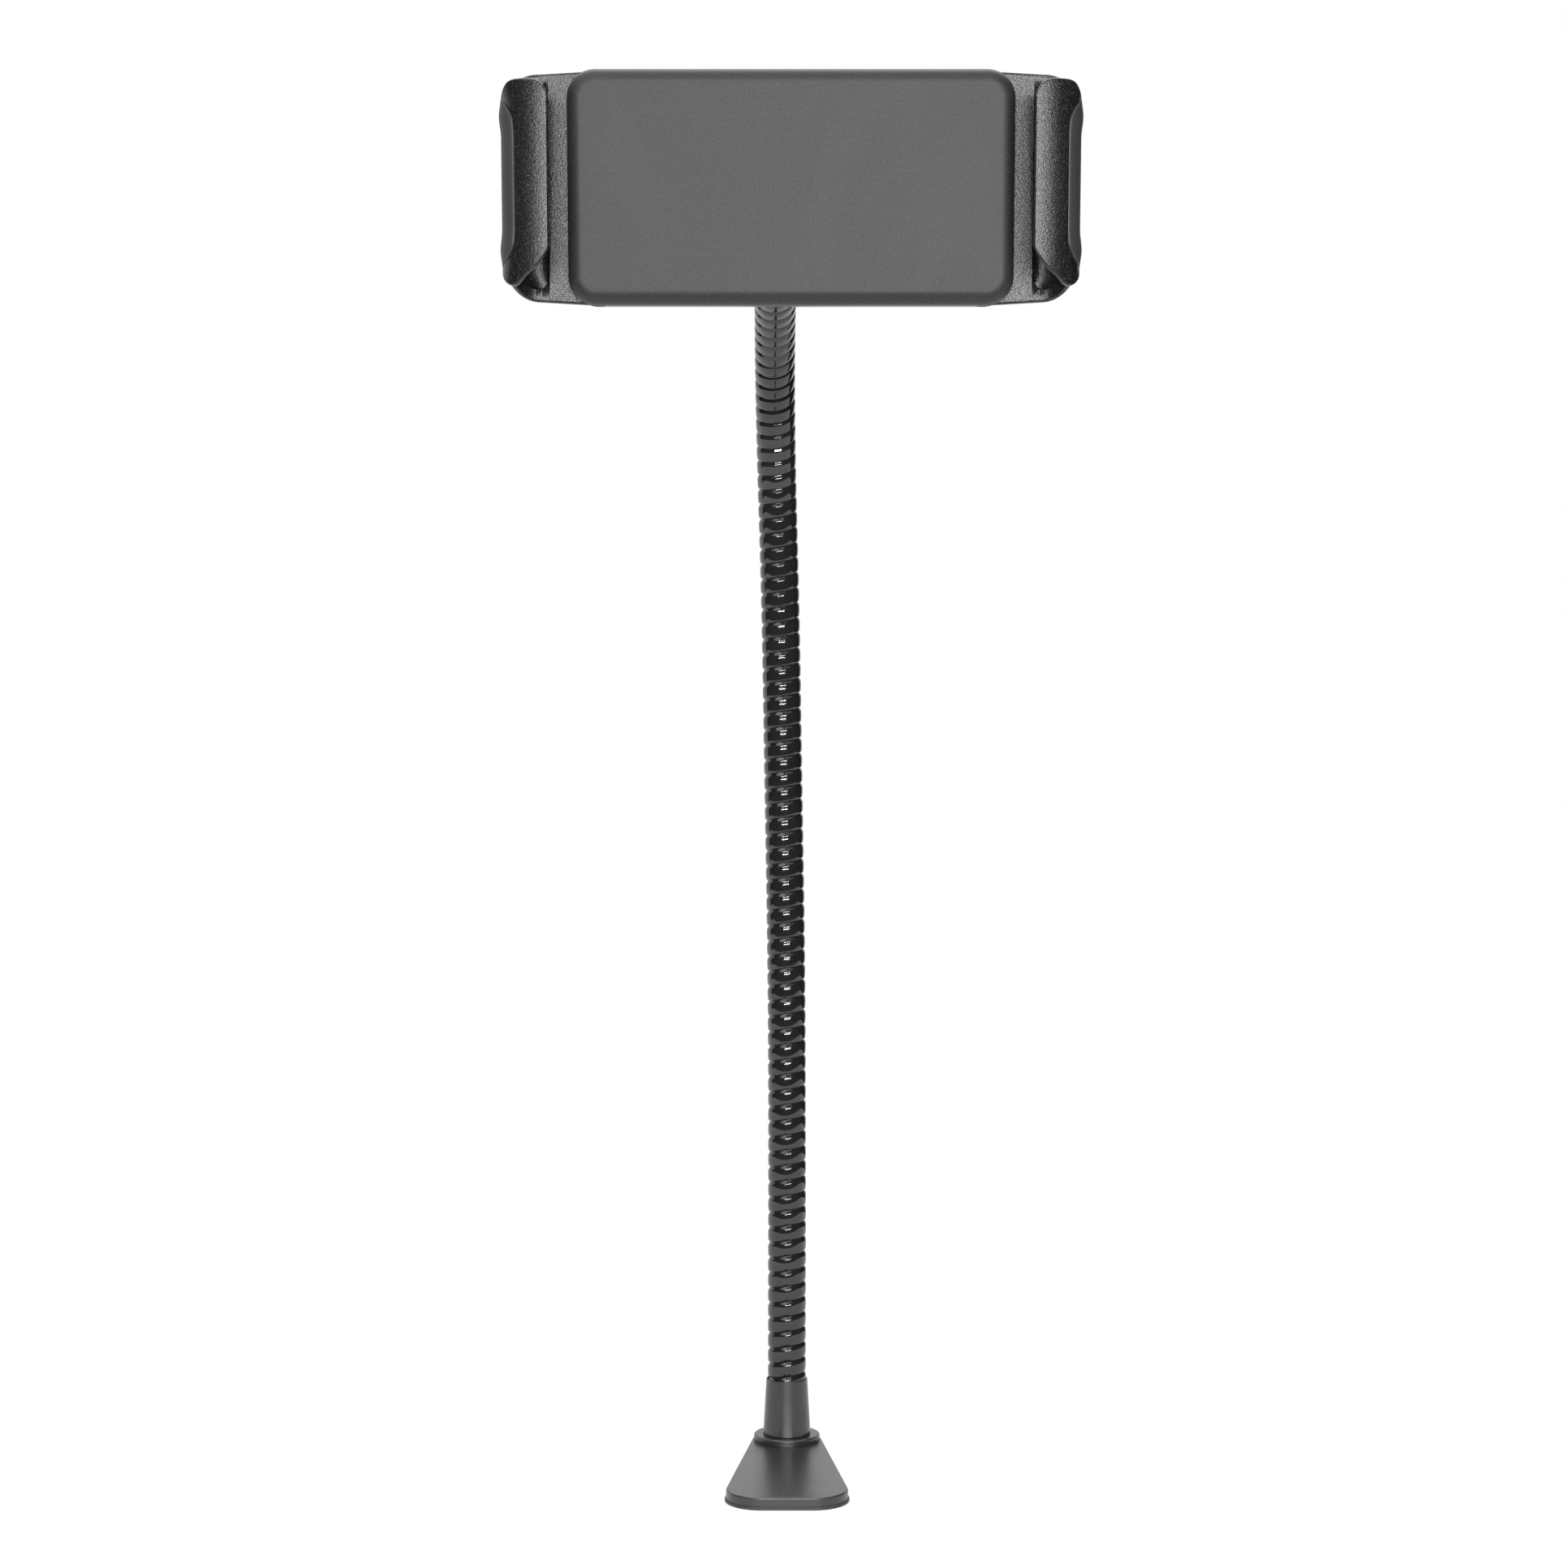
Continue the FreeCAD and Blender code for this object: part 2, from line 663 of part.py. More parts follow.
def jaw_front_view():
    """What the jaw keeps when seen from the front: slim between the rims, wider past them, round at the corners."""
    shoulder = rim_width / 2 + slide_clearance
    shoulder_half = plate_half_height + jaw_shoulder
    corner_x = jaw_half_span - jaw_corner_radius
    corner_z = jaw_end_half_height - jaw_corner_radius
    bevel = jaw_corner_radius * math.sqrt(0.5)

    def upper_side(level):
        start = Vector(0, 0, level * plate_half_height)
        inner_knee = Vector(shoulder, 0, level * plate_half_height)
        outer_knee = Vector(shoulder, 0, level * shoulder_half)
        low = Vector(corner_x, 0, level * jaw_end_half_height)
        mid = Vector(corner_x + bevel, 0, level * (corner_z + bevel))
        high = Vector(jaw_half_span, 0, level * corner_z)
        return [Part.makeLine(start, inner_knee), Part.makeLine(inner_knee, outer_knee),
                Part.makeLine(outer_knee, low), Part.Arc(low, mid, high).toShape()]

    upper = upper_side(1)
    lower = upper_side(-1)
    tip = Part.makeLine(Vector(jaw_half_span, 0, corner_z), Vector(jaw_half_span, 0, -corner_z))
    root = Part.makeLine(Vector(0, 0, -plate_half_height), Vector(0, 0, plate_half_height))
    face = Part.Face(Part.Wire(upper + [tip] + lower[::-1] + [root]))
    face.translate(Vector(0, -lip_rise, 0))
    return face.extrude(Y_AXIS * (lip_rise + plate_back))


def jaw_side_view():
    """What the jaw keeps when seen from the side: its outer wall slopes from the plate's height to the lip's."""
    slope_back = plate_back - jaw_back_radius
    slope_front = jaw_front_radius - lip_rise
    full = cover_height / 2
    upper = [Vector(0, plate_back, full), Vector(0, slope_back, full),
             Vector(0, slope_back, jaw_end_half_height), Vector(0, slope_front, lip_half_height),
             Vector(0, -lip_rise, lip_half_height)]
    lower = [Vector(0, point.y, -point.z) for point in upper]
    rim = upper + lower[::-1]
    return Part.Face(Part.makePolygon(rim + rim[:1])).extrude(X_AXIS * jaw_half_span)


def lip_trim():
    """What is cut off the lip so that its inner corners are round."""
    keep_width = 2 * lip_overlap
    keep = rounded_rectangle(keep_width, 2 * lip_half_height, lip_corner_radius, -lip_rise)
    keep.translate(Vector(lip_inner + lip_overlap, 0, 0))
    trim = box((0, -lip_rise, -cover_height), (lip_inner + lip_corner_radius, 0, cover_height))
    return trim.cut(keep.extrude(Y_AXIS * lip_rise))


def grip_window(grow):
    """The round-cornered window in the outer wall that takes the grip, grown by grow all round."""
    front = grip_front_inset - lip_rise - grow
    back = plate_back - grip_back_inset + grow
    window = rounded_rectangle(back - front, 2 * (grip_half_height + grow), grip_corner_radius + grow, 0)
    window.rotate(ORIGIN, Z_AXIS, 90)
    window.translate(Vector(jaw_half_span - jaw_front_radius, (front + back) / 2, 0))
    return window.extrude(X_AXIS * (jaw_front_radius + 2 * grip_bulge))


def make_grip(side):
    """A soft insert that follows the outer wall, full near its ends and slim between them."""
    slim = Vector(jaw_half_span, 0, 0)
    full = Vector(jaw_half_span + grip_bulge, 0, 0)
    heights = (grip_half_height, grip_bulge_height, grip_waist_height)
    reaches = (slim, full, slim)
    upper = [reach + Z_AXIS * height for reach, height in zip(reaches, heights)]
    lower = [reach - Z_AXIS * height for reach, height in zip(reaches, heights)]
    rim = upper + lower[::-1] + [Z_AXIS * -grip_half_height, Z_AXIS * grip_half_height]
    profile = Part.Face(Part.makePolygon(rim + rim[:1]))
    profile.translate(Vector(0, -lip_rise - grip_bulge, 0))
    profile = profile.extrude(Y_AXIS * (lip_rise + plate_back + 2 * grip_bulge))
    grip = grip_window(0).common(jaw_envelope(grip_bulge)).cut(jaw_envelope(-grip_depth))
    grip = grip.common(profile)
    return set_on_ball(sided(grip, side))


def sided(shape, side):
    """A right-hand shape, or its mirror image for the left."""
    return shape if side > 0 else shape.mirror(ORIGIN, X_AXIS)


def make_jaw(side):
    """A sliding plate with two slots for the posts, a spring tab at its inner end and a hook at its outer end."""
    section = jaw_section()
    section.translate(Vector(0, 0, -cover_height / 2))
    jaw = section.extrude(Z_AXIS * cover_height)
    jaw = jaw.common(jaw_front_view()).common(jaw_side_view()).cut(lip_trim())
    jaw = jaw.cut(grip_window(turn_clearance).cut(jaw_envelope(-grip_depth - turn_clearance)))
    for level in (-1, 1):
        outer = Vector(post_x, 0, level * post_z)
        inner = Vector(post_x - jaw_travel, 0, level * post_z)
        slot = box((inner.x, plate_front, outer.z - post_slot_half),
                   (outer.x, plate_back, outer.z + post_slot_half))
        for end in (inner, outer):
            slot = slot.fuse(cylinder(post_slot_half, plate_front, plate_back, Y_AXIS, end))
        jaw = jaw.cut(slot)
    half = spring_radius + spring_wire_radius
    height = spring_height(side)
    tab_outer = jaw_inner_gap + spring_tab_thickness
    tab = box((jaw_inner_gap, spring_depth() - half, height - half), (tab_outer, plate_front, height + half))
    plug_radius = spring_radius - spring_wire_radius - turn_clearance
    plug_axis = X_AXIS * -1
    plug = cylinder(plug_radius, 0, spring_plug_length, plug_axis,
                    Vector(jaw_inner_gap, spring_depth(), height))
    jaw = jaw.fuse(tab).fuse(plug).removeSplitter()
    return set_on_ball(sided(jaw, side))


def make_spring(side):
    """A drawn coil spring from a jaw's tab to the seat at the far end of the cover."""
    length = spring_seat_x + jaw_inner_gap - 2 * seat_gap - 2 * spring_wire_radius
    helix = Part.makeHelix(length / spring_turns, length, spring_radius)
    start = Vector(spring_radius, 0, 0)
    rise = Vector(0, 2 * math.pi * spring_radius, length / spring_turns)
    wire_section = circle_wire(spring_wire_radius, start, rise)
    coil = Part.Wire(helix).makePipeShell([wire_section], True, True)
    coil.rotate(ORIGIN, Y_AXIS, -90 * side)
    coil.translate(Vector(side * (jaw_inner_gap - seat_gap - spring_wire_radius), spring_depth(),
                          spring_height(side)))
    return set_on_ball(coil)


def make_all():
    """Every piece by the name of its node."""
    pieces = {
        "foot_pad": make_foot_pad(),
        "foot_plate": make_foot_plate(),
        "foot_collar": make_foot_collar(),
        "foot_screw": make_foot_screw(),
        "lower_ferrule": make_lower_ferrule(),
        "upper_ferrule": make_upper_ferrule(),
        "ball_stud": make_ball_stud(),
        "socket_collet": set_on_ball(make_socket_collet()),
        "lock_nut": set_on_ball(make_lock_nut()),
        "front_cover": make_front_cover(),
        "back_cover": make_back_cover(),
        "case_screws": make_case_screws(),
    }
    for index in range(link_count):
        pieces["neck_link_%d" % (index + 1)] = make_neck_link(index)
    for name, side in (("left", -1), ("right", 1)):
        pieces[name + "_jaw"] = make_jaw(side)
        pieces[name + "_grip"] = make_grip(side)
        pieces[name + "_spring"] = make_spring(side)
    return pieces


os.makedirs("parts", exist_ok=True)
for node, piece in make_all().items():
    piece.exportStep("parts/%s.step" % node)
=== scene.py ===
import json
import math

import bmesh
import bpy
from mathutils import Matrix, Vector

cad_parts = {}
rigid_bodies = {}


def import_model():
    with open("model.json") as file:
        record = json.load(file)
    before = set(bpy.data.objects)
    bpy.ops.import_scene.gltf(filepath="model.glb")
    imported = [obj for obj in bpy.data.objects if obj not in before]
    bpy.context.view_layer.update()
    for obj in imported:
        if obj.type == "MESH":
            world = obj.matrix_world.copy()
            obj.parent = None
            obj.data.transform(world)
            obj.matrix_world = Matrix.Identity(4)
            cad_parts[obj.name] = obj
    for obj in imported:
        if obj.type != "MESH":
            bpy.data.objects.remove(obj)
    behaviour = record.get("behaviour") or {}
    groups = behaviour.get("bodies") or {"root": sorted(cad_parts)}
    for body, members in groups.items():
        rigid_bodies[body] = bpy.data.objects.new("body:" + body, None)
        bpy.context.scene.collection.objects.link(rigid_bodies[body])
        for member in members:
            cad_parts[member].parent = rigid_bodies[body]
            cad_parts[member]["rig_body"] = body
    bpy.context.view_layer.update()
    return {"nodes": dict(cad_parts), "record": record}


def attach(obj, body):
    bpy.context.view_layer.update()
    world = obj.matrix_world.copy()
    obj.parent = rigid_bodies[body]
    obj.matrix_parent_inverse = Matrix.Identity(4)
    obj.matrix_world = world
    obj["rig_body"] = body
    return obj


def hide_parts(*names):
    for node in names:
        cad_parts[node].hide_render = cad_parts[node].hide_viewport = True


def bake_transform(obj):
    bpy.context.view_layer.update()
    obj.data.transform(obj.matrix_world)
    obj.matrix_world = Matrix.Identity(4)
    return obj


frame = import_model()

MM = 0.001

# Mesh work: distances in metres, angles in degrees
MERGE = 1e-6
SLEEVE_MERGE = 2e-6
FLAT_ANGLE = 0.4
SOFT_EDGE_STEPS = 3
RIGID_SHARP_ANGLE = 30.0
SLEEVE_SHARP_ANGLE = 40.0
JAW_SHARP_ANGLE = 32.0
GRIP_SHARP_ANGLE = 40.0

# Photograph's frame and the camera that it was solved for
PHOTO_WIDTH_PX = 1932
FOCAL_LENGTH_PX = 3250
SENSOR_WIDTH = 36.0
CAMERA_PLACE = (-0.92, -858.9, 217.0)

# Neck, as it is bent
TURN_PITCH = 4.9
TURNS_PER_LINK = 12
LINK_COUNT = 8
LINK_LENGTH = TURN_PITCH * TURNS_PER_LINK
NECK_LENGTH = LINK_LENGTH * LINK_COUNT
NECK_GRIP = 12.0
NECK_START = (0.0, 0.0, 11.65)
NECK_RADIUS = 6.25
NECK_GROOVE = 0.38
LOWER_EDGE_SHARE = 0.1
UPPER_FLANK_SHARE = 0.26
NECK_CREST = 0.2
NECK_LEAN = (0.0, 0.0, 0.3, 1.0, 3.0, 16.0, 58.0, 83.9, 96.3)
NECK_SWAY = (0.0, 0.1, -0.2, -1.0, -0.9, -1.7, 0.2, 1.2, 3.2)
SLEEVE_SIDES = 64
SLEEVE_ROWS_PER_TURN = 24
NECK_STEP = 1.0

# Right jaw in plan, in the holder's upright frame: X right, Y back from the block's face, Z up
JAW_CUT = 50.0
PLATE_FRONT = 6.0
PLATE_BACK = 9.0
JAW_HALF_SPAN = 70.6
JAW_WALL = 2.4
BACK_BEND_CENTRE = Vector((62.0, 0.4))
BACK_BEND_RADIUS = 8.6
BACK_BEND_INNER_CENTRE = Vector((62.0, -0.2))
BACK_BEND_INNER_RADIUS = 6.2
LIP_CENTRE = Vector((59.1, -4.8))
LIP_REACH = 11.5
LIP_RISE = 8.0
LIP_TIP = 58.6
LIP_EDGE_ROUND = 0.5

# Half heights of the jaw in the front view and the side view
SHOULDER_X = 46.8
SHOULDER_HALF_HEIGHT = 28.6
END_HALF_HEIGHT = 27.7
END_CORNER_X = 62.6
END_CORNER_RADIUS = 8.0
LIP_SIDE_TOP = 26.7
LIP_SIDE_FOOT = 25.1
LIP_SIDE_FOOT_RADIUS = 4.0
LIP_TOP = 24.8
LIP_TOP_CORNER_RADIUS = 5.5
LIP_FOOT = 19.7
LIP_FOOT_CORNER_RADIUS = 5.5
LIP_FOOT_SLOPE = 0.6
LIP_FOOT_SLOPE_STARTS = (1.5, 5.5)
JAW_EDGE_ROUND = 0.6
JAW_BLEND = 1.6

# Rows of points along the jaw's wall, from the plate to the lip's rounded tip, and around its edges
PLATE_ROWS = 6
BEND_ROWS = 12
WALL_ROWS = 6
LIP_ROWS = 24
TIP_ROWS = 8
TIP_SWEEP = 85.0
EDGE_STEPS = 5
EDGE_SUPPORT = 0.5
EDGE_MOST = 0.45

# Pocket in the jaw's floor, behind the lip
POCKET_INNER = 60.0
POCKET_OUTER = 68.15
POCKET_FRONT = -3.0
POCKET_FLOOR = 8.3
POCKET_HALF_HEIGHT = 24.6
POCKET_INNER_RADIUS = 3.2
POCKET_OUTER_RADIUS = 4.5
POCKET_BEND = 6.0
POCKET_BEND_MOST = 0.9
POCKET_ROWS = 36
POCKET_BEND_ROWS = 8

# Soft insert in each jaw's outer wall
GRIP_DEPTH = 1.2
GRIP_SEAM = 0.12
GRIP_FRONT = -10.5
GRIP_BACK = 4.4
GRIP_HALF_HEIGHT = 20.4
GRIP_CORNER_RADIUS = 6.5
GRIP_BULGE = 0.45
GRIP_BULGE_HEIGHT = 16.0
GRIP_WAIST_HEIGHT = 11.0
GRIP_EDGE_ROUND = 0.4
GRIP_SEAT_PROUD = 2.0
GRIP_ROWS = 40
GRIP_COLUMNS = 48

# Patterns in the finishes
PIT_SHARE = 0.3
# The speck range masks painted sparkle: bright specks mixed into the grained plastics' colour
SPARKLE_SPECK_RANGE = (0.52, 0.74)
SPECK_TO_GRAIN = 1.3
SMEAR_RANGE = (0.45, 0.75)
SMEAR_STRETCH = (1.0, 1.0, 0.35)
TONE_SHARE = 0.1
SMEAR_POLISH = 0.02
COOL_TINT = 1.01
PLASTIC_HANDLING_SCALE = 45.0
SMOOTH_HANDLING_SCALE = 60.0

# Studio: the white room and floor, and the unlit room past the white sheet
ROOM_SOFT_LIGHT = 0.06
FLOOR_HALF = 6.0
FLOOR_GREY = (0.6, 0.6, 0.6, 1)
FLOOR_FILL_RANGE = (0.1, 1.2)
FLOOR_FILL_LEAST = 0.6
STUDIO_GREY = (0.02, 0.02, 0.02, 1)
STUDIO_NEAR_FRONT = 0.39
STUDIO_NEAR_SIDE = 1.2
STUDIO_FAR = 1.6
STUDIO_HEIGHT = 1.9
STUDIO_LIFT = 0.001
STUDIO_ARC = (-102, 138)
STUDIO_STEPS = 48
LAMP_AIM = Vector((0, -0.1, 0.25))


# Material helpers

def new_material(name):
    """A node material with no nodes in it yet."""
    material = bpy.data.materials.new(name)
    material.use_nodes = True
    material.node_tree.nodes.clear()
    return material


def add_node(tree, kind, **settings):
    """A node of a kind, with properties and input values set by name."""
    node = tree.nodes.new(kind)
    for key, value in settings.items():
        if key in node.inputs:
            node.inputs[key].default_value = value
        else:
            setattr(node, key, value)
    return node


def new_group(name, inputs, outputs):
    """A shader node group with float outputs; returns its tree, input node and output node."""
    tree = bpy.data.node_groups.new(name, "ShaderNodeTree")
    for socket, kind in inputs.items():
        tree.interface.new_socket(socket, in_out="INPUT", socket_type=kind)
    for socket in outputs:
        tree.interface.new_socket(socket, in_out="OUTPUT", socket_type="NodeSocketFloat")
    return tree, tree.nodes.new("NodeGroupInput"), tree.nodes.new("NodeGroupOutput")


def use_group(tree, group, vector, **values):
    """Places a group in a material, reads its vector and sets its values."""
    node = tree.nodes.new("ShaderNodeGroup")
    node.node_tree = group
    tree.links.new(vector, node.inputs["Vector"])
    for key, value in values.items():
        node.inputs[key].default_value = value
    return node


def math_node(tree, operation, first, second=None, third=None):
    """A math node on sockets or plain numbers."""
    node = add_node(tree, "ShaderNodeMath", operation=operation)
    for socket, value in zip(node.inputs, (first, second, third)):
        if isinstance(value, (int, float)):
            socket.default_value = value
        elif value is not None:
            tree.links.new(value, socket)
    return node.outputs[0]


def smooth_mask(tree, source, low, high):
    """A mask that rises smoothly from 0 at low to 1 at high."""
    mask = add_node(tree, "ShaderNodeMapRange", interpolation_type="SMOOTHSTEP")
    mask.inputs["From Min"].default_value = low
    mask.inputs["From Max"].default_value = high
    tree.links.new(source, mask.inputs["Value"])
    return mask.outputs["Result"]


def make_spark_grain_group():
    """The eroded grain of a mould: fine pits and hills as a height, and a mask of bright specks, which paints
    sparkle into the colour.
    """
    tree, start, end = new_group(
        "spark_grain_and_sparkle",
        {"Vector": "NodeSocketVector", "Grain Scale": "NodeSocketFloat", "Speck Scale": "NodeSocketFloat"},
        ("Height", "Speck"))
    hills = add_node(tree, "ShaderNodeTexNoise", Detail=2.0, Roughness=0.7)
    pits = add_node(tree, "ShaderNodeTexVoronoi", feature="F1")
    specks = add_node(tree, "ShaderNodeTexNoise", Detail=1.0)
    for node, scale in ((hills, "Grain Scale"), (pits, "Speck Scale"), (specks, "Speck Scale")):
        tree.links.new(start.outputs["Vector"], node.inputs["Vector"])
        tree.links.new(start.outputs[scale], node.inputs["Scale"])
    pit_depth = math_node(tree, "MULTIPLY", pits.outputs["Distance"], PIT_SHARE)
    height = math_node(tree, "SUBTRACT", hills.outputs["Fac"], pit_depth)
    tree.links.new(height, end.inputs["Height"])
    # Painted sparkle: bright specks as a mask for the colour
    tree.links.new(smooth_mask(tree, specks.outputs["Fac"], *SPARKLE_SPECK_RANGE), end.inputs["Speck"])
    return tree


def make_handling_group():
    """Slow unevenness from moulding and handling: a tone and a smear mask."""
    tree, start, end = new_group(
        "handling",
        {"Vector": "NodeSocketVector", "Scale": "NodeSocketFloat"},
        ("Tone", "Smear"))
    broad = add_node(tree, "ShaderNodeTexNoise", Detail=4.0, Roughness=0.55)
    stretch = add_node(tree, "ShaderNodeMapping", Scale=SMEAR_STRETCH)
    smear = add_node(tree, "ShaderNodeTexNoise", Detail=5.0, Roughness=0.65, Distortion=0.8)
    tree.links.new(start.outputs["Vector"], broad.inputs["Vector"])
    tree.links.new(start.outputs["Vector"], stretch.inputs["Vector"])
    tree.links.new(stretch.outputs["Vector"], smear.inputs["Vector"])
    for node in (broad, smear):
        tree.links.new(start.outputs["Scale"], node.inputs["Scale"])
    tree.links.new(broad.outputs["Fac"], end.inputs["Tone"])
    tree.links.new(smooth_mask(tree, smear.outputs["Fac"], *SMEAR_RANGE), end.inputs["Smear"])
    return tree


spark_grain_and_sparkle = make_spark_grain_group()
handling = make_handling_group()


def grey_between(tree, factor, dark, light):
    """A grey that a factor moves from dark to light."""
    mix = add_node(tree, "ShaderNodeMix", data_type="RGBA")
    colours = [socket for socket in mix.inputs if socket.type == "RGBA"]
    colours[0].default_value = (dark, dark, dark * COOL_TINT, 1)
    colours[1].default_value = (light, light, light * COOL_TINT, 1)
    tree.links.new(factor, mix.inputs[0])
    return [socket for socket in mix.outputs if socket.type == "RGBA"][0]


def level_between(tree, factor, low, high):
    """A value that a factor moves from low to high."""
    spread = add_node(tree, "ShaderNodeMapRange")
    spread.inputs["To Min"].default_value = low
    spread.inputs["To Max"].default_value = high
    tree.links.new(factor, spread.inputs["Value"])
    return spread.outputs["Result"]


def finish_material(material, colour, roughness, height, depth, **constants):
    """Puts a Principled shader and the output in a material; constants go on the shader's own sockets."""
    tree = material.node_tree
    shader = add_node(tree, "ShaderNodeBsdfPrincipled")
    for key, value in constants.items():
        shader.inputs[key].default_value = value
    tree.links.new(colour, shader.inputs["Base Color"])
    tree.links.new(roughness, shader.inputs["Roughness"])
    bump = add_node(tree, "ShaderNodeBump", Strength=1.0, Distance=depth)
    tree.links.new(height, bump.inputs["Height"])
    tree.links.new(bump.outputs["Normal"], shader.inputs["Normal"])
    output = add_node(tree, "ShaderNodeOutputMaterial")
    tree.links.new(shader.outputs["BSDF"], output.inputs["Surface"])
    return material


def make_grained_plastic(name, grain_scale, depth, dark, light, rough):
    """Moulded plastic with a spark-eroded grain and painted sparkle: bright specks in its colour."""
    material = new_material(name)
    tree = material.node_tree
    place = add_node(tree, "ShaderNodeTexCoord").outputs["Object"]
    scales = {"Grain Scale": grain_scale, "Speck Scale": grain_scale * SPECK_TO_GRAIN}
    grain = use_group(tree, spark_grain_and_sparkle, place, **scales)
    wear = use_group(tree, handling, place, Scale=PLASTIC_HANDLING_SCALE)
    # Painted sparkle: the specks lift the colour to the light grey, over a faint random tone
    tone = math_node(tree, "MULTIPLY_ADD", wear.outputs["Tone"], TONE_SHARE, grain.outputs["Speck"])
    colour = grey_between(tree, tone, dark, light)
    roughness = level_between(tree, wear.outputs["Smear"], rough, rough - SMEAR_POLISH)
    return finish_material(material, colour, roughness, grain.outputs["Height"], depth)


def make_smooth_finish(name, greys, roughnesses, ripple_scale, ripple_depth, **constants):
    """A smooth finish with faint ripples and handling marks: gloss sleeve, satin paint, rubber or steel."""
    material = new_material(name)
    tree = material.node_tree
    place = add_node(tree, "ShaderNodeTexCoord").outputs["Object"]
    wear = use_group(tree, handling, place, Scale=SMOOTH_HANDLING_SCALE)
    ripple = add_node(tree, "ShaderNodeTexNoise", Scale=ripple_scale, Detail=2.0)
    tree.links.new(place, ripple.inputs["Vector"])
    colour = grey_between(tree, wear.outputs["Tone"], *greys)
    roughness = level_between(tree, wear.outputs["Smear"], *roughnesses)
    return finish_material(material, colour, roughness, ripple.outputs["Fac"], ripple_depth, **constants)


# In each grained plastic the light grey shows only in its specks of painted sparkle
cover_grain_and_sparkle = make_grained_plastic(
    "cover_grain_and_sparkle", grain_scale=2800.0, depth=0.00004, dark=0.014, light=0.035, rough=0.55)
jaw_grain_and_sparkle = make_grained_plastic(
    "jaw_grain_and_sparkle", grain_scale=2200.0, depth=0.00009, dark=0.006, light=0.045, rough=0.3)
sleeve_gloss = make_smooth_finish(
    "sleeve_gloss", greys=(0.012, 0.018), roughnesses=(0.06, 0.1),
    ripple_scale=600.0, ripple_depth=0.000002, IOR=1.6)
ferrule_gloss = make_smooth_finish(
    "ferrule_gloss", greys=(0.02, 0.03), roughnesses=(0.26, 0.32),
    ripple_scale=3000.0, ripple_depth=0.000006, IOR=1.6)
foot_satin = make_smooth_finish(
    "foot_satin", greys=(0.018, 0.024), roughnesses=(0.32, 0.35),
    ripple_scale=5000.0, ripple_depth=0.000012, IOR=1.65)
grip_rubber = make_smooth_finish(
    "grip_rubber", greys=(0.03, 0.045), roughnesses=(0.5, 0.6),
    ripple_scale=3500.0, ripple_depth=0.00004)
plated_steel = make_smooth_finish(
    "plated_steel", greys=(0.5, 0.6), roughnesses=(0.18, 0.32),
    ripple_scale=900.0, ripple_depth=0.00002, Metallic=1.0)
collet_nylon = make_smooth_finish(
    "collet_nylon", greys=(0.16, 0.22), roughnesses=(0.4, 0.5),
    ripple_scale=900.0, ripple_depth=0.00003)


# Mesh helpers

def link_object(name, data):
    """A new object at the origin, in the scene."""
    made = bpy.data.objects.new(name, data)
    bpy.context.scene.collection.objects.link(made)
    return made


def smooth_by_angle(mesh, degrees):
    """Smooth shading with sharp edges past an angle."""
    mesh.polygons.foreach_set("use_smooth", [True] * len(mesh.polygons))
    mesh.set_sharp_from_angle(angle=math.radians(degrees))


def clean(mesh, merge):
    """Merges doubles, drops slivers, closes open ends and turns all faces outwards."""
    work = bmesh.new()
    work.from_mesh(mesh)
    bmesh.ops.remove_doubles(work, verts=work.verts, dist=merge)
    bmesh.ops.dissolve_degenerate(work, edges=work.edges, dist=merge)
    open_edges = [edge for edge in work.edges if edge.is_boundary]
    if open_edges:
        bmesh.ops.holes_fill(work, edges=open_edges, sides=0)
    bmesh.ops.recalc_face_normals(work, faces=work.faces)
    work.to_mesh(mesh)
    work.free()


def shade_evenly(piece):
    """Keeps large flat faces flat in the shading, beside small faces in their rounds."""
    even = piece.modifiers.new("even_shading", "WEIGHTED_NORMAL")
    even.keep_sharp = True


def finished_copy(node, material, edge=0.0):
    """A copy of a node with its triangles merged, its edges softened by edge millimetres, and a finish."""
    source = frame["nodes"][node]
    mesh = source.data.copy()
    mesh.name = node + "_finished"
    mesh.materials.clear()
    mesh.materials.append(material)
    work = bmesh.new()
    work.from_mesh(mesh)
    bmesh.ops.remove_doubles(work, verts=work.verts, dist=MERGE)
    bmesh.ops.dissolve_limit(work, angle_limit=math.radians(FLAT_ANGLE), verts=work.verts, edges=work.edges)
    work.to_mesh(mesh)
    work.free()
    smooth_by_angle(mesh, RIGID_SHARP_ANGLE)
    piece = link_object(node + "_finished", mesh)
    if edge:
        bevel = piece.modifiers.new("soft_edges", "BEVEL")
        bevel.width = edge * MM
        bevel.segments = SOFT_EDGE_STEPS
        bevel.limit_method = "ANGLE"
        bevel.angle_limit = math.radians(RIGID_SHARP_ANGLE)
        bevel.use_clamp_overlap = True
        bevel.harden_normals = True
    shade_evenly(piece)
    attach(piece, source["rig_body"])
    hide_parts(node)


# Neck

def neck_angle(angles, distance):
    """Lean or sway at a distance along the neck: even from link to link, straight in the last ferrule."""
    stations = [link * LINK_LENGTH for link in range(LINK_COUNT)] + [NECK_LENGTH - NECK_GRIP]
    for start, end, first, last in zip(stations, stations[1:], angles, angles[1:]):
        if distance < end:
            return first + (last - first) * (distance - start) / (end - start)
    return angles[-1]


def neck_path():
    """The neck's middle line as (distance, point) pairs in millimetres, about a step apart."""
    count = round(NECK_LENGTH / NECK_STEP)
    length = NECK_LENGTH / count
    point = Vector(NECK_START)
    path = [(0.0, point.copy())]
    for index in range(count):
        middle = (index + 0.5) * length
        lean = math.radians(neck_angle(NECK_LEAN, middle))
        sway = math.radians(neck_angle(NECK_SWAY, middle))
        upright = math.cos(sway)
        point += length * Vector((math.sin(sway), -math.sin(lean) * upright, math.cos(lean) * upright))
        path.append(((index + 1) * length, point.copy()))
    return path


NECK_PATH = neck_path()


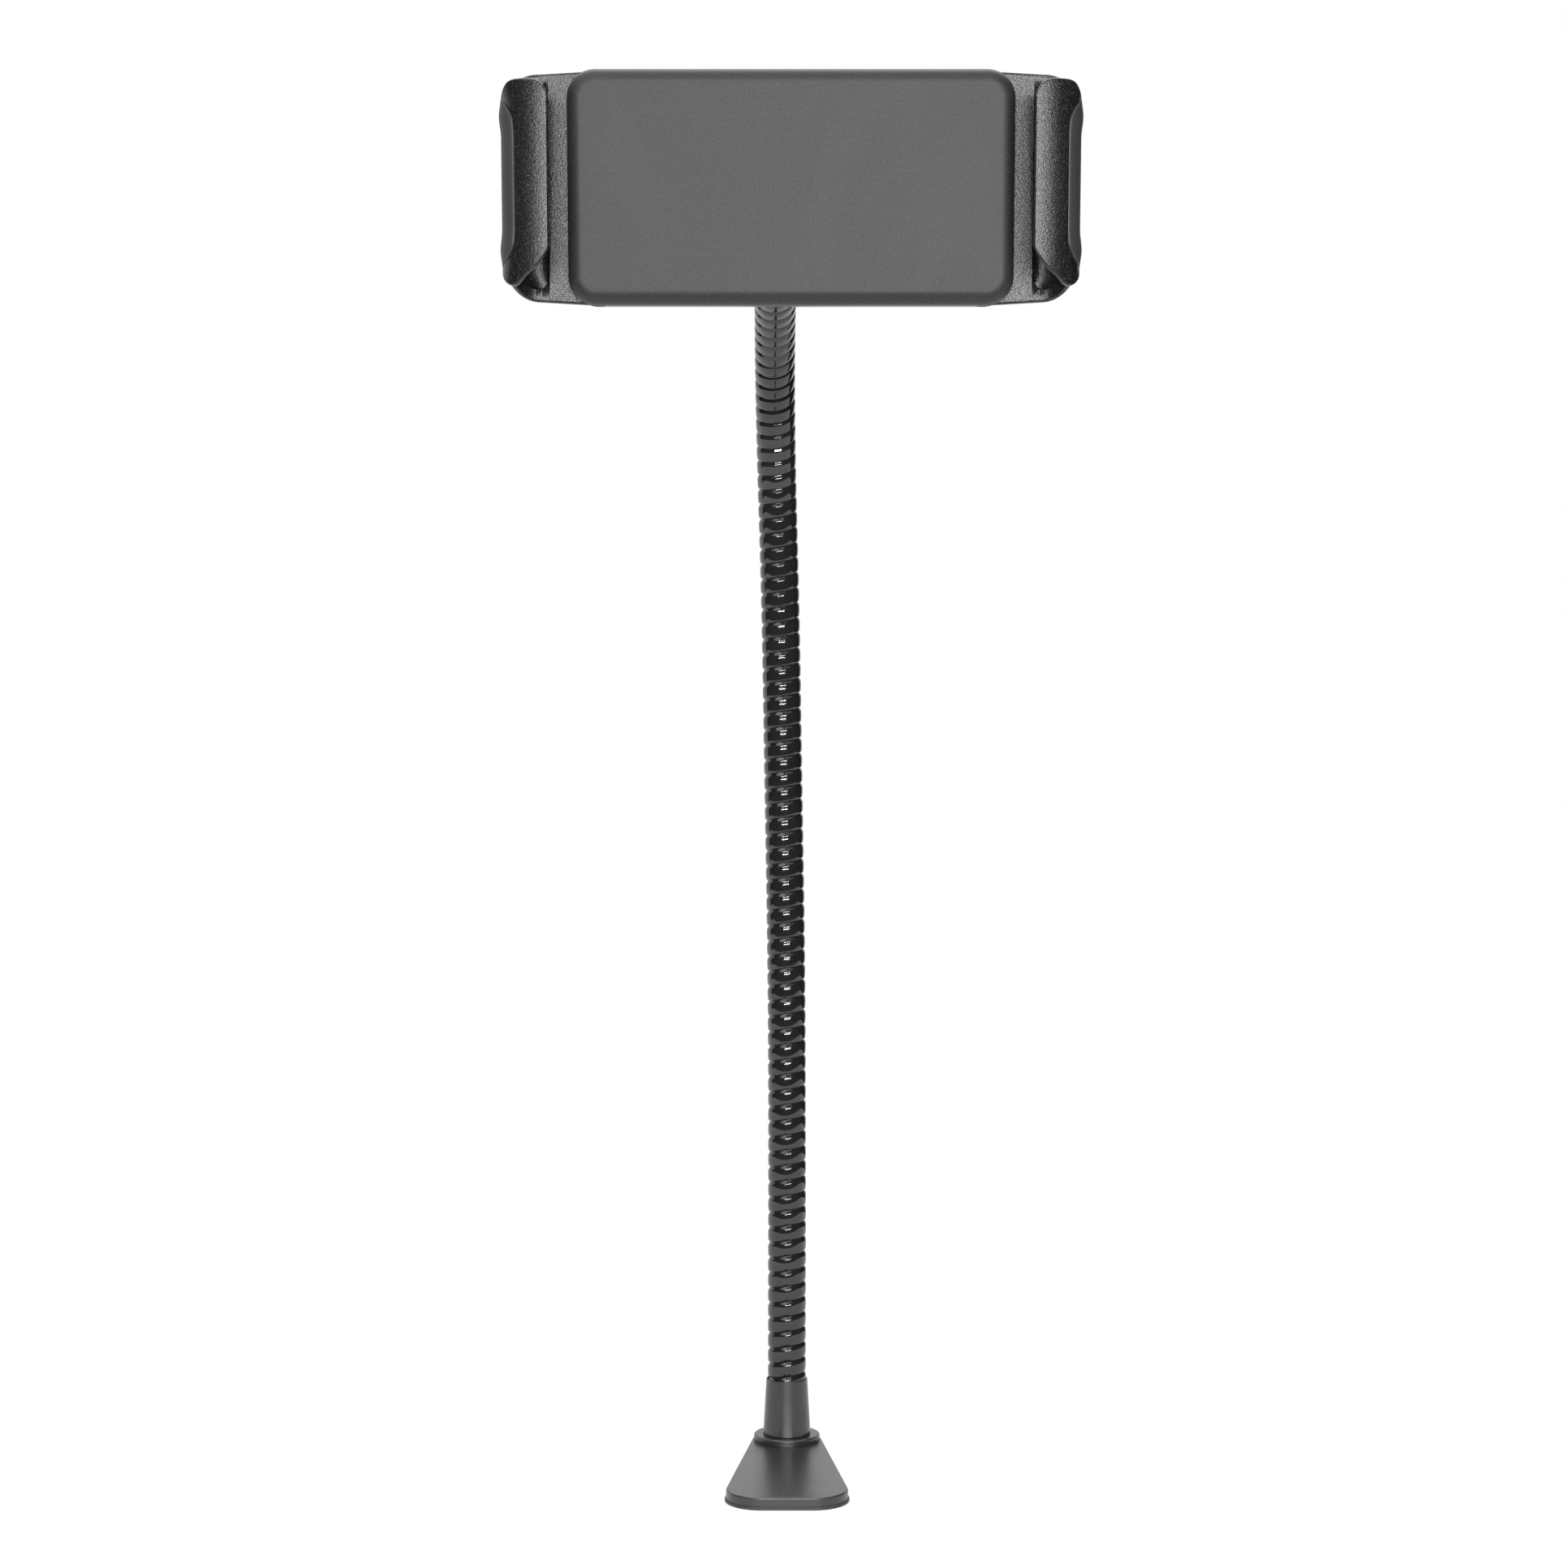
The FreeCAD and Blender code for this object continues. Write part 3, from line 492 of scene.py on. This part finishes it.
def make_sleeve_tree():
    """Geometry nodes: a sleeve over a coil, its rows along the helix so that each groove is a clean line."""
    tree = bpy.data.node_groups.new("coil_sleeve", "GeometryNodeTree")
    face = tree.interface
    face.new_socket("Path", in_out="INPUT", socket_type="NodeSocketGeometry")
    lengths = ("Radius", "Groove Depth", "Crest", "Lower Edge", "Upper Flank", "Pitch", "Start", "End")
    for name in lengths:
        face.new_socket(name, in_out="INPUT", socket_type="NodeSocketFloat")
    for name in ("Sides", "Rows"):
        face.new_socket(name, in_out="INPUT", socket_type="NodeSocketInt")
    face.new_socket("Finish", in_out="INPUT", socket_type="NodeSocketMaterial")
    face.new_socket("Sleeve", in_out="OUTPUT", socket_type="NodeSocketGeometry")
    given = tree.nodes.new("NodeGroupInput").outputs
    links = tree.links

    def value(*terms):
        return math_node(tree, *terms)

    def vector(operation, first, second=None, scale=None):
        node = add_node(tree, "ShaderNodeVectorMath", operation=operation)
        links.new(first, node.inputs[0])
        if second is not None:
            links.new(second, node.inputs[1])
        if scale is not None:
            links.new(scale, node.inputs["Scale"])
        return node.outputs["Vector"]

    grid = add_node(tree, "GeometryNodeMeshGrid")
    grid.inputs["Size X"].default_value = 1.0
    grid.inputs["Size Y"].default_value = 1.0
    links.new(value("ADD", given["Sides"], 1), grid.inputs["Vertices X"])
    links.new(given["Rows"], grid.inputs["Vertices Y"])
    place = add_node(tree, "ShaderNodeSeparateXYZ")
    links.new(tree.nodes.new("GeometryNodeInputPosition").outputs[0], place.inputs[0])
    around = value("ADD", place.outputs["X"], 0.5)
    along = value("ADD", place.outputs["Y"], 0.5)
    first = value("SUBTRACT", given["Start"], given["Pitch"])
    span = value("SUBTRACT", given["End"], first)
    row = value("MULTIPLY_ADD", along, span, first)
    raw = value("MULTIPLY_ADD", around, given["Pitch"], row)
    held = add_node(tree, "ShaderNodeClamp")
    links.new(raw, held.inputs["Value"])
    links.new(given["Start"], held.inputs["Min"])
    links.new(given["End"], held.inputs["Max"])
    distance = held.outputs[0]
    turns = value("SUBTRACT", value("DIVIDE", distance, given["Pitch"]), around)
    phase = value("FRACT", turns)
    from_crest = value("ABSOLUTE", value("MULTIPLY_ADD", phase, 2.0, -1.0))
    lower = add_node(tree, "ShaderNodeMapRange", interpolation_type="SMOOTHSTEP")
    links.new(phase, lower.inputs["Value"])
    links.new(given["Lower Edge"], lower.inputs["From Max"])
    upper = add_node(tree, "ShaderNodeMapRange", interpolation_type="SMOOTHSTEP")
    links.new(phase, upper.inputs["Value"])
    links.new(value("SUBTRACT", 1.0, given["Upper Flank"]), upper.inputs["From Min"])
    groove = value("MAXIMUM", value("SUBTRACT", 1.0, lower.outputs["Result"]), upper.outputs["Result"])
    sag = value("MULTIPLY", value("POWER", from_crest, 2.0), given["Crest"])
    cut = value("MULTIPLY_ADD", groove, given["Groove Depth"], sag)
    radius = value("SUBTRACT", given["Radius"], cut)
    sample = add_node(tree, "GeometryNodeSampleCurve", mode="LENGTH")
    links.new(given["Path"], sample.inputs["Curves"])
    links.new(distance, sample.inputs["Length"])
    normal = sample.outputs["Normal"]
    side = vector("CROSS_PRODUCT", sample.outputs["Tangent"], normal)
    angle = value("MULTIPLY", around, 2 * math.pi)
    outward = vector("ADD", vector("SCALE", normal, scale=value("COSINE", angle)),
                     vector("SCALE", side, scale=value("SINE", angle)))
    point = vector("ADD", sample.outputs["Position"], vector("SCALE", outward, scale=radius))
    moved = tree.nodes.new("GeometryNodeSetPosition")
    links.new(grid.outputs["Mesh"], moved.inputs["Geometry"])
    links.new(point, moved.inputs["Position"])
    merged = tree.nodes.new("GeometryNodeMergeByDistance")
    merged.inputs["Distance"].default_value = SLEEVE_MERGE
    links.new(moved.outputs[0], merged.inputs["Geometry"])
    real = tree.nodes.new("GeometryNodeRealizeInstances")
    links.new(merged.outputs[0], real.inputs[0])
    painted = tree.nodes.new("GeometryNodeSetMaterial")
    links.new(real.outputs[0], painted.inputs["Geometry"])
    links.new(given["Finish"], painted.inputs["Material"])
    links.new(painted.outputs[0], tree.nodes.new("NodeGroupOutput").inputs["Sleeve"])
    return tree


def mesh_from_nodes(name, data, tree, values):
    """Runs a geometry tree on a curve or mesh and returns the result as a plain mesh."""
    holder = link_object(name + "_source", data)
    modifier = holder.modifiers.new("shape", "NODES")
    modifier.node_group = tree
    for item in tree.interface.items_tree:
        if item.in_out == "INPUT" and item.name in values:
            modifier[item.identifier] = values[item.name]
    graph = bpy.context.evaluated_depsgraph_get()
    mesh = bpy.data.meshes.new_from_object(holder.evaluated_get(graph))
    mesh.name = name
    holder.modifiers.remove(modifier)
    bpy.data.objects.remove(holder)
    return mesh


def make_neck():
    """The sleeve, cut in the middle of each link, so that each piece between two cuts spans one joint."""
    curve = bpy.data.curves.new("neck_line", "CURVE")
    curve.dimensions = "3D"
    spline = curve.splines.new("POLY")
    spline.points.add(len(NECK_PATH) - 1)
    for target, (_, point) in zip(spline.points, NECK_PATH):
        target.co = (*(point * MM), 1.0)
    tree = make_sleeve_tree()
    cuts = [0.0] + [(link + 0.5) * LINK_LENGTH for link in range(LINK_COUNT)] + [NECK_LENGTH]
    for index, (start, end) in enumerate(zip(cuts, cuts[1:])):
        rows = round((end - start + TURN_PITCH) / TURN_PITCH * SLEEVE_ROWS_PER_TURN) + 1
        name = "neck_sleeve_%d" % (index + 1)
        mesh = mesh_from_nodes(name, curve, tree, {
            "Radius": NECK_RADIUS * MM, "Groove Depth": NECK_GROOVE * MM, "Crest": NECK_CREST * MM,
            "Lower Edge": LOWER_EDGE_SHARE, "Upper Flank": UPPER_FLANK_SHARE,
            "Pitch": TURN_PITCH * MM, "Start": start * MM, "End": end * MM,
            "Sides": SLEEVE_SIDES, "Rows": rows, "Finish": sleeve_gloss})
        clean(mesh, SLEEVE_MERGE)
        smooth_by_angle(mesh, SLEEVE_SHARP_ANGLE)
        piece = link_object(name, mesh)
        if index == 0:
            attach(piece, "neck_1")
            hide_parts("neck_link_1")
        elif index == LINK_COUNT:
            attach(piece, "neck_%d" % LINK_COUNT)
        else:
            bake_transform(piece)
            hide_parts("neck_link_%d" % (index + 1))


# Jaws and grips

def holder_frame():
    """From the holder's upright frame, in millimetres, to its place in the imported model."""
    cradle = next(mount for mount in frame["record"]["mounts"] if mount["name"] == "tablet_cradle")
    right = Vector((1, 0, 0))
    back = -Vector(cradle["axis"])
    turn = Matrix((right, back, right.cross(back))).transposed().to_4x4()
    return Matrix.Translation(cradle["pos_m"]) @ turn @ Matrix.Scale(MM, 4)


HOLDER_FRAME = holder_frame()


def smoothstep(low, high, value):
    """0 below low, 1 above high, and a smooth rise between."""
    share = min(max((value - low) / (high - low), 0.0), 1.0)
    return share * share * (3 - 2 * share)


def soft_least(first, second, blend):
    """The lesser of two values, with a rounded change from one to the other."""
    overlap = max(blend - abs(first - second), 0.0) / blend
    return min(first, second) - overlap * overlap * blend / 4


def on_arc(centre, radius, degrees):
    """A point on an arc in plan."""
    angle = math.radians(degrees)
    return centre + radius * Vector((math.cos(angle), math.sin(angle)))


def rounded_outline(corners, radius):
    """A closed outline with round corners and a support point beside each round."""
    outline = []
    corners = [Vector(corner) for corner in corners]
    for index, corner in enumerate(corners):
        before = (corners[index - 1] - corner).normalized()
        after = (corners[(index + 1) % len(corners)] - corner).normalized()
        half = before.angle(after) / 2
        reach = radius / math.tan(half)
        centre = corner + (before + after).normalized() * (radius / math.sin(half))
        start = corner + before * reach - centre
        end = corner + after * reach - centre
        outline.append(corner + before * (reach + EDGE_SUPPORT * radius))
        for step in range(EDGE_STEPS + 1):
            outline.append(centre + start.lerp(end, step / EDGE_STEPS).normalized() * radius)
        outline.append(corner + after * (reach + EDGE_SUPPORT * radius))
    return outline


def wall_loop(outer, inner, outer_ends, inner_ends, edge):
    """A closed loop around a wall, from an outer to an inner point in plan, with round edges."""
    across = inner - outer
    thickness = across.length
    corners = [(0, outer_ends[0]), (0, outer_ends[1])]
    corners += [(thickness, inner_ends[1]), (thickness, inner_ends[0])]
    loop = []
    for depth, height in rounded_outline(corners, min(edge, EDGE_MOST * thickness)):
        place = outer + across * (depth / thickness)
        loop.append((place.x, place.y, height))
    return loop


def loft(loops):
    """A closed skin over loops with equal counts, capped at both ends."""
    work = bmesh.new()
    rings = [[work.verts.new(point) for point in loop] for loop in loops]
    count = len(rings[0])
    for low, high in zip(rings, rings[1:]):
        for index in range(count):
            after = (index + 1) % count
            work.faces.new((low[index], low[after], high[after], high[index]))
    work.faces.new(rings[0][::-1])
    work.faces.new(rings[-1])
    bmesh.ops.recalc_face_normals(work, faces=work.faces)
    return work


def hook_stations():
    """The hook's wall in plan, as outer and inner points from the plate to the lip's rounded tip."""
    stations = []
    for row in range(PLATE_ROWS):
        x = JAW_CUT + (BACK_BEND_CENTRE.x - JAW_CUT) * row / PLATE_ROWS
        stations.append((Vector((x, PLATE_BACK)), Vector((x, PLATE_FRONT))))
    for row in range(BEND_ROWS + 1):
        angle = 90 - 90 * row / BEND_ROWS
        stations.append((on_arc(BACK_BEND_CENTRE, BACK_BEND_RADIUS, angle),
                         on_arc(BACK_BEND_INNER_CENTRE, BACK_BEND_INNER_RADIUS, angle)))
    outer, inner = stations[-1]
    for row in range(1, WALL_ROWS):
        stations.append((Vector((outer.x, outer.y + (LIP_CENTRE.y - outer.y) * row / WALL_ROWS)),
                         Vector((inner.x, inner.y + (LIP_CENTRE.y - inner.y) * row / WALL_ROWS))))
    for row in range(LIP_ROWS + 1):
        angle = math.radians(90 * row / LIP_ROWS)
        outer = LIP_CENTRE + Vector((LIP_REACH * math.cos(angle), -LIP_RISE * math.sin(angle)))
        inner = LIP_CENTRE + Vector(((LIP_REACH - JAW_WALL) * math.cos(angle),
                                     (JAW_WALL - LIP_RISE) * math.sin(angle)))
        stations.append((outer, inner))
    for row in range(1, TIP_ROWS + 1):
        angle = math.radians(TIP_SWEEP * row / TIP_ROWS)
        tuck = Vector((-math.sin(angle), 1 - math.cos(angle))) * LIP_EDGE_ROUND
        stations.append((outer + tuck, inner + Vector((tuck.x, -tuck.y))))
    return stations


def corner_drop(radius, distance):
    """How far a round corner has fallen at a distance from the end of the straight side."""
    short = min(max(radius - distance, 0.0), radius)
    return radius - math.sqrt(radius ** 2 - short ** 2)


def jaw_ends(point):
    """The jaw's lower and upper end at a point in plan: tapered, round at the corners, its lip cut back."""
    taper = min((point.x - SHOULDER_X) / (END_CORNER_X - SHOULDER_X), 1.0)
    half = SHOULDER_HALF_HEIGHT + (END_HALF_HEIGHT - SHOULDER_HALF_HEIGHT) * taper
    from_side = JAW_HALF_SPAN - point.x
    front = 1 - smoothstep(LIP_CENTRE.y, PLATE_FRONT, point.y)
    foot_radius = END_CORNER_RADIUS + (LIP_SIDE_FOOT_RADIUS - END_CORNER_RADIUS) * front
    top = half + (LIP_SIDE_TOP - half) * front - corner_drop(END_CORNER_RADIUS, from_side)
    foot = half + (LIP_SIDE_FOOT - half) * front - corner_drop(foot_radius, from_side)
    if point.y < BACK_BEND_CENTRE.y:
        fall = smoothstep(-BACK_BEND_CENTRE.y, -LIP_CENTRE.y, -point.y)
        top = soft_least(top, END_HALF_HEIGHT + (LIP_TOP - END_HALF_HEIGHT) * fall, JAW_BLEND)
    if point.y < LIP_CENTRE.y:
        inward = point.x - LIP_TIP
        top = soft_least(top, LIP_TOP - corner_drop(LIP_TOP_CORNER_RADIUS, inward), JAW_BLEND)
        slope = sum(LIP_FOOT_SLOPE * max(inward - start, 0.0) for start in LIP_FOOT_SLOPE_STARTS)
        foot = soft_least(foot, LIP_FOOT + slope - corner_drop(LIP_FOOT_CORNER_RADIUS, inward), JAW_BLEND)
    return -foot, top


def outer_wall(y):
    """The jaw's outer surface in plan at a depth: its point and the way that it faces."""
    if y < LIP_CENTRE.y:
        rise = (y - LIP_CENTRE.y) / LIP_RISE
        run = math.sqrt(1 - rise * rise)
        point = LIP_CENTRE + Vector((LIP_REACH * run, LIP_RISE * rise))
        return point, Vector((run / LIP_REACH, rise / LIP_RISE)).normalized()
    past = max(y - BACK_BEND_CENTRE.y, 0.0)
    angle = math.degrees(math.asin(past / BACK_BEND_RADIUS))
    point = Vector((on_arc(BACK_BEND_CENTRE, BACK_BEND_RADIUS, angle).x, y))
    return point, on_arc(Vector((0, 0)), 1.0, angle)


def grip_swell(height):
    """How far the grip stands out of the wall at a height: a pad at each end and a flat waist."""
    height = abs(height)
    rise = smoothstep(GRIP_WAIST_HEIGHT, GRIP_BULGE_HEIGHT, height)
    fall = 1 - smoothstep(GRIP_BULGE_HEIGHT, GRIP_HALF_HEIGHT, height)
    return GRIP_BULGE * rise * fall - corner_drop(END_CORNER_RADIUS, END_HALF_HEIGHT - height)


def grip_loops(grow, proud):
    """Loops around the grip from front to back, grown by a seam; proud lifts its outer face off the wall."""
    loops = []
    middle = (GRIP_FRONT + GRIP_BACK) / 2
    reach = (GRIP_BACK - GRIP_FRONT) / 2 + grow
    corner = GRIP_CORNER_RADIUS + grow
    for row in range(GRIP_ROWS + 1):
        along = -math.cos(math.pi * row / GRIP_ROWS)
        y = middle + reach * along
        short = max(abs(y - middle) - (reach - corner), 0.0)
        half = GRIP_HALF_HEIGHT + grow - corner + math.sqrt(max(corner ** 2 - short ** 2, 0.0))
        point, facing = outer_wall(y)
        end_drop = corner_drop(GRIP_EDGE_ROUND, reach - abs(y - middle))
        low = point - facing * (GRIP_DEPTH + grow)
        loop = [(low.x, low.y, -half), (low.x, low.y, half)]
        for column in range(GRIP_COLUMNS + 1):
            height = half * math.cos(math.pi * column / GRIP_COLUMNS)
            drop = max(end_drop, corner_drop(GRIP_EDGE_ROUND, half - abs(height)))
            place = point + facing * (proud if proud else grip_swell(height) - drop)
            loop.append((place.x, place.y, height))
        loops.append(loop)
    return loops


def pocket_loops():
    """Loops around the pocket from its lower to its upper end, with round corners in the front view."""
    loops = []
    for row in range(POCKET_ROWS + 1):
        height = -POCKET_HALF_HEIGHT * math.cos(math.pi * row / POCKET_ROWS)
        left = POCKET_HALF_HEIGHT - abs(height)
        inner = POCKET_INNER + corner_drop(POCKET_INNER_RADIUS, left)
        outer = POCKET_OUTER - corner_drop(POCKET_OUTER_RADIUS, left)
        bend = min(POCKET_BEND, POCKET_BEND_MOST * (outer - inner))
        loop = [(inner, POCKET_FRONT, height), (outer, POCKET_FRONT, height)]
        for step in range(POCKET_BEND_ROWS + 1):
            angle = math.pi / 2 * step / POCKET_BEND_ROWS
            depth = BACK_BEND_CENTRE.y + (POCKET_FLOOR - BACK_BEND_CENTRE.y) * math.sin(angle)
            loop.append((outer - bend + bend * math.cos(angle), depth, height))
        loops.append(loop + [(inner, POCKET_FLOOR, height)])
    return loops


def mesh_of(name, work):
    """A mesh from a working mesh, which is freed."""
    mesh = bpy.data.meshes.new(name)
    work.to_mesh(mesh)
    work.free()
    return mesh


def evaluated_mesh(piece):
    """The mesh of an object with its modifiers worked out; the object is removed."""
    graph = bpy.context.evaluated_depsgraph_get()
    mesh = bpy.data.meshes.new_from_object(piece.evaluated_get(graph))
    bpy.data.objects.remove(piece)
    return mesh


def make_hook():
    """The right jaw's hook with its pocket and the seat for its grip cut out."""
    loops = [wall_loop(outer, inner, jaw_ends(outer), jaw_ends(inner), JAW_EDGE_ROUND)
             for outer, inner in hook_stations()]
    hook = link_object("hook", mesh_of("hook", loft(loops)))
    cutters = []
    seat_loops = grip_loops(GRIP_SEAM, GRIP_SEAT_PROUD)
    for name, cut_loops in (("pocket", pocket_loops()), ("grip_seat", seat_loops)):
        cutter = link_object(name, mesh_of(name, loft(cut_loops)))
        cut = hook.modifiers.new(name, "BOOLEAN")
        cut.operation = "DIFFERENCE"
        cut.solver = "EXACT"
        cut.object = cutter
        cutters.append(cutter)
    mesh = evaluated_mesh(hook)
    for cutter in cutters:
        bpy.data.objects.remove(cutter)
    return mesh


def sliding_plate(hand, side):
    """The part of a jaw's plate that slides in the case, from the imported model, in the right jaw's frame."""
    mesh = frame["nodes"][hand + "_jaw"].data.copy()
    work = bmesh.new()
    work.from_mesh(mesh)
    bmesh.ops.remove_doubles(work, verts=work.verts, dist=MERGE)
    to_right_jaw = Matrix.Diagonal((side, 1, 1, 1)) @ HOLDER_FRAME.inverted()
    bmesh.ops.transform(work, matrix=to_right_jaw, verts=work.verts)
    everything = work.verts[:] + work.edges[:] + work.faces[:]
    bmesh.ops.bisect_plane(
        work, geom=everything, plane_co=(JAW_CUT, 0, 0), plane_no=(1, 0, 0), clear_outer=True)
    bmesh.ops.holes_fill(work, edges=[edge for edge in work.edges if edge.is_boundary], sides=0)
    bmesh.ops.dissolve_limit(work, angle_limit=math.radians(FLAT_ANGLE), verts=work.verts, edges=work.edges)
    return work


def place_in_holder(work, side):
    """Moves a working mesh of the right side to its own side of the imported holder, faces outwards."""
    bmesh.ops.transform(work, matrix=HOLDER_FRAME @ Matrix.Diagonal((side, 1, 1, 1)), verts=work.verts)
    bmesh.ops.recalc_face_normals(work, faces=work.faces)


def finish_piece(name, work, material, body, node, sharp):
    """Turns a working mesh into a finished piece that stands for a node."""
    mesh = mesh_of(name, work)
    mesh.materials.append(material)
    smooth_by_angle(mesh, sharp)
    piece = link_object(name, mesh)
    shade_evenly(piece)
    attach(piece, body)
    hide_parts(node)


def make_jaws():
    """Both jaws with their grips: the hook is shaped once and mirrored for the left."""
    hook = make_hook()
    for hand, side in (("left", -1), ("right", 1)):
        body = hand + "_jaw"
        jaw = sliding_plate(hand, side)
        jaw.from_mesh(hook)
        place_in_holder(jaw, side)
        finish_piece(hand + "_jaw_shell", jaw, jaw_grain_and_sparkle,
                     body, hand + "_jaw", JAW_SHARP_ANGLE)
        grip = loft(grip_loops(0.0, 0.0))
        place_in_holder(grip, side)
        finish_piece(hand + "_grip_pad", grip, grip_rubber,
                     body, hand + "_grip", GRIP_SHARP_ANGLE)


make_neck()
make_jaws()

# Rigid pieces, their edges softened except the springs'
finished_copy("foot_pad", grip_rubber, edge=0.25)
finished_copy("foot_plate", foot_satin, edge=0.25)
finished_copy("foot_collar", foot_satin, edge=0.12)
finished_copy("lower_ferrule", ferrule_gloss, edge=0.15)
finished_copy("upper_ferrule", ferrule_gloss, edge=0.15)
finished_copy("foot_screw", plated_steel, edge=0.1)
finished_copy("ball_stud", plated_steel, edge=0.1)
finished_copy("socket_collet", collet_nylon, edge=0.1)
finished_copy("lock_nut", jaw_grain_and_sparkle, edge=0.3)
finished_copy("front_cover", cover_grain_and_sparkle, edge=0.25)
finished_copy("back_cover", jaw_grain_and_sparkle, edge=0.3)
finished_copy("case_screws", plated_steel, edge=0.15)
for hand in ("left", "right"):
    finished_copy(hand + "_spring", plated_steel)


# Studio

def make_camera():
    """The camera at the photograph's place, looking level along +Y."""
    data = bpy.data.cameras.new("photo_camera")
    data.sensor_width = SENSOR_WIDTH
    data.lens = SENSOR_WIDTH * FOCAL_LENGTH_PX / PHOTO_WIDTH_PX
    camera = link_object("photo_camera", data)
    camera.location = Vector(CAMERA_PLACE) * MM
    camera.rotation_euler = (math.pi / 2, 0, 0)
    bpy.context.scene.camera = camera


def seen_or_mirrored(tree):
    """1 for camera, mirror and glass rays, 0 for light that scatters."""
    path = tree.nodes.new("ShaderNodeLightPath")
    either = math_node(tree, "MAXIMUM", path.outputs["Is Camera Ray"], path.outputs["Is Glossy Ray"])
    return math_node(tree, "MAXIMUM", either, path.outputs["Is Transmission Ray"])


def make_world():
    """A white room when looked at, and a dimmer soft light on the object."""
    world = bpy.data.worlds.new("white_room")
    bpy.context.scene.world = world
    world.use_nodes = True
    tree = world.node_tree
    background = tree.nodes["Background"]
    background.inputs["Color"].default_value = (1, 1, 1, 1)
    strength = level_between(tree, seen_or_mirrored(tree), ROOM_SOFT_LIGHT, 1.0)
    tree.links.new(strength, background.inputs["Strength"])


def make_floor():
    """A pale floor that stays white when looked at and keeps the object's shadow."""
    half = FLOOR_HALF
    corners = [(-half, -half, 0), (half, -half, 0), (half, half, 0), (-half, half, 0)]
    mesh = bpy.data.meshes.new("floor")
    mesh.from_pydata(corners, [], [(0, 1, 2, 3)])
    material = new_material("pale_floor")
    tree = material.node_tree
    diffuse = add_node(tree, "ShaderNodeBsdfDiffuse", Color=FLOOR_GREY)
    glow = add_node(tree, "ShaderNodeEmission")
    away = add_node(tree, "ShaderNodeVectorMath", operation="LENGTH")
    tree.links.new(add_node(tree, "ShaderNodeTexCoord").outputs["Object"], away.inputs[0])
    open_floor = smooth_mask(tree, away.outputs["Value"], *FLOOR_FILL_RANGE)
    fill = level_between(tree, open_floor, FLOOR_FILL_LEAST, 1.0)
    strength = math_node(tree, "MULTIPLY", seen_or_mirrored(tree), fill)
    tree.links.new(strength, glow.inputs["Strength"])
    both = add_node(tree, "ShaderNodeAddShader")
    tree.links.new(diffuse.outputs[0], both.inputs[0])
    tree.links.new(glow.outputs[0], both.inputs[1])
    output = add_node(tree, "ShaderNodeOutputMaterial")
    tree.links.new(both.outputs[0], output.inputs["Surface"])
    mesh.materials.append(material)
    link_object("floor", mesh)


def make_softbox(name, place, width, height, power):
    """A rectangular area lamp that looks at the object."""
    data = bpy.data.lights.new(name, "AREA")
    data.shape = "RECTANGLE"
    data.size = width
    data.size_y = height
    data.energy = power
    lamp = link_object(name, data)
    lamp.location = place
    lamp.rotation_mode = "QUATERNION"
    lamp.rotation_quaternion = (LAMP_AIM - Vector(place)).to_track_quat("-Z", "Y")


def make_dark_studio():
    """The unlit room past the white sheet, which only mirrors see: a ring of floor and a curved wall."""
    first, last = (math.radians(degrees) for degrees in STUDIO_ARC)
    points = []
    for step in range(STUDIO_STEPS + 1):
        angle = first + (last - first) * step / STUDIO_STEPS
        right, back = math.sin(angle), -math.cos(angle)
        near = 1 / math.hypot(right / STUDIO_NEAR_SIDE, back / STUDIO_NEAR_FRONT)
        points.append((near * right, near * back, STUDIO_LIFT))
        points.append((STUDIO_FAR * right, STUDIO_FAR * back, STUDIO_LIFT))
        points.append((STUDIO_FAR * right, STUDIO_FAR * back, STUDIO_HEIGHT))
    faces = []
    for step in range(STUDIO_STEPS):
        for row in (0, 1):
            corner = 3 * step + row
            faces.append((corner, corner + 1, corner + 4, corner + 3))
    mesh = bpy.data.meshes.new("dark_studio")
    mesh.from_pydata(points, [], faces)
    material = new_material("studio_black")
    tree = material.node_tree
    diffuse = add_node(tree, "ShaderNodeBsdfDiffuse", Color=STUDIO_GREY)
    output = add_node(tree, "ShaderNodeOutputMaterial")
    tree.links.new(diffuse.outputs[0], output.inputs["Surface"])
    mesh.materials.append(material)
    studio = link_object("dark_studio", mesh)
    studio.visible_camera = False
    studio.visible_diffuse = False
    studio.visible_shadow = False
    studio.visible_transmission = False


make_camera()
make_world()
make_floor()
make_dark_studio()
make_softbox("upper_strip", place=(0.08, -1.3, 0.36), width=0.85, height=0.04, power=11.5)
make_softbox("lower_strip", place=(0.08, -1.3, 0.14), width=0.85, height=0.015, power=4.0)
make_softbox("front_softbox", place=(-0.1, -1.15, 0.9), width=1.3, height=0.45, power=3.0)
make_softbox("upper_left_softbox", place=(-0.5, -0.75, 1.35), width=0.9, height=0.9, power=5.0)
make_softbox("overhead_softbox", place=(0, 0.5, 1.5), width=1.2, height=1.0, power=14.0)
bpy.context.scene.view_settings.view_transform = "Standard"
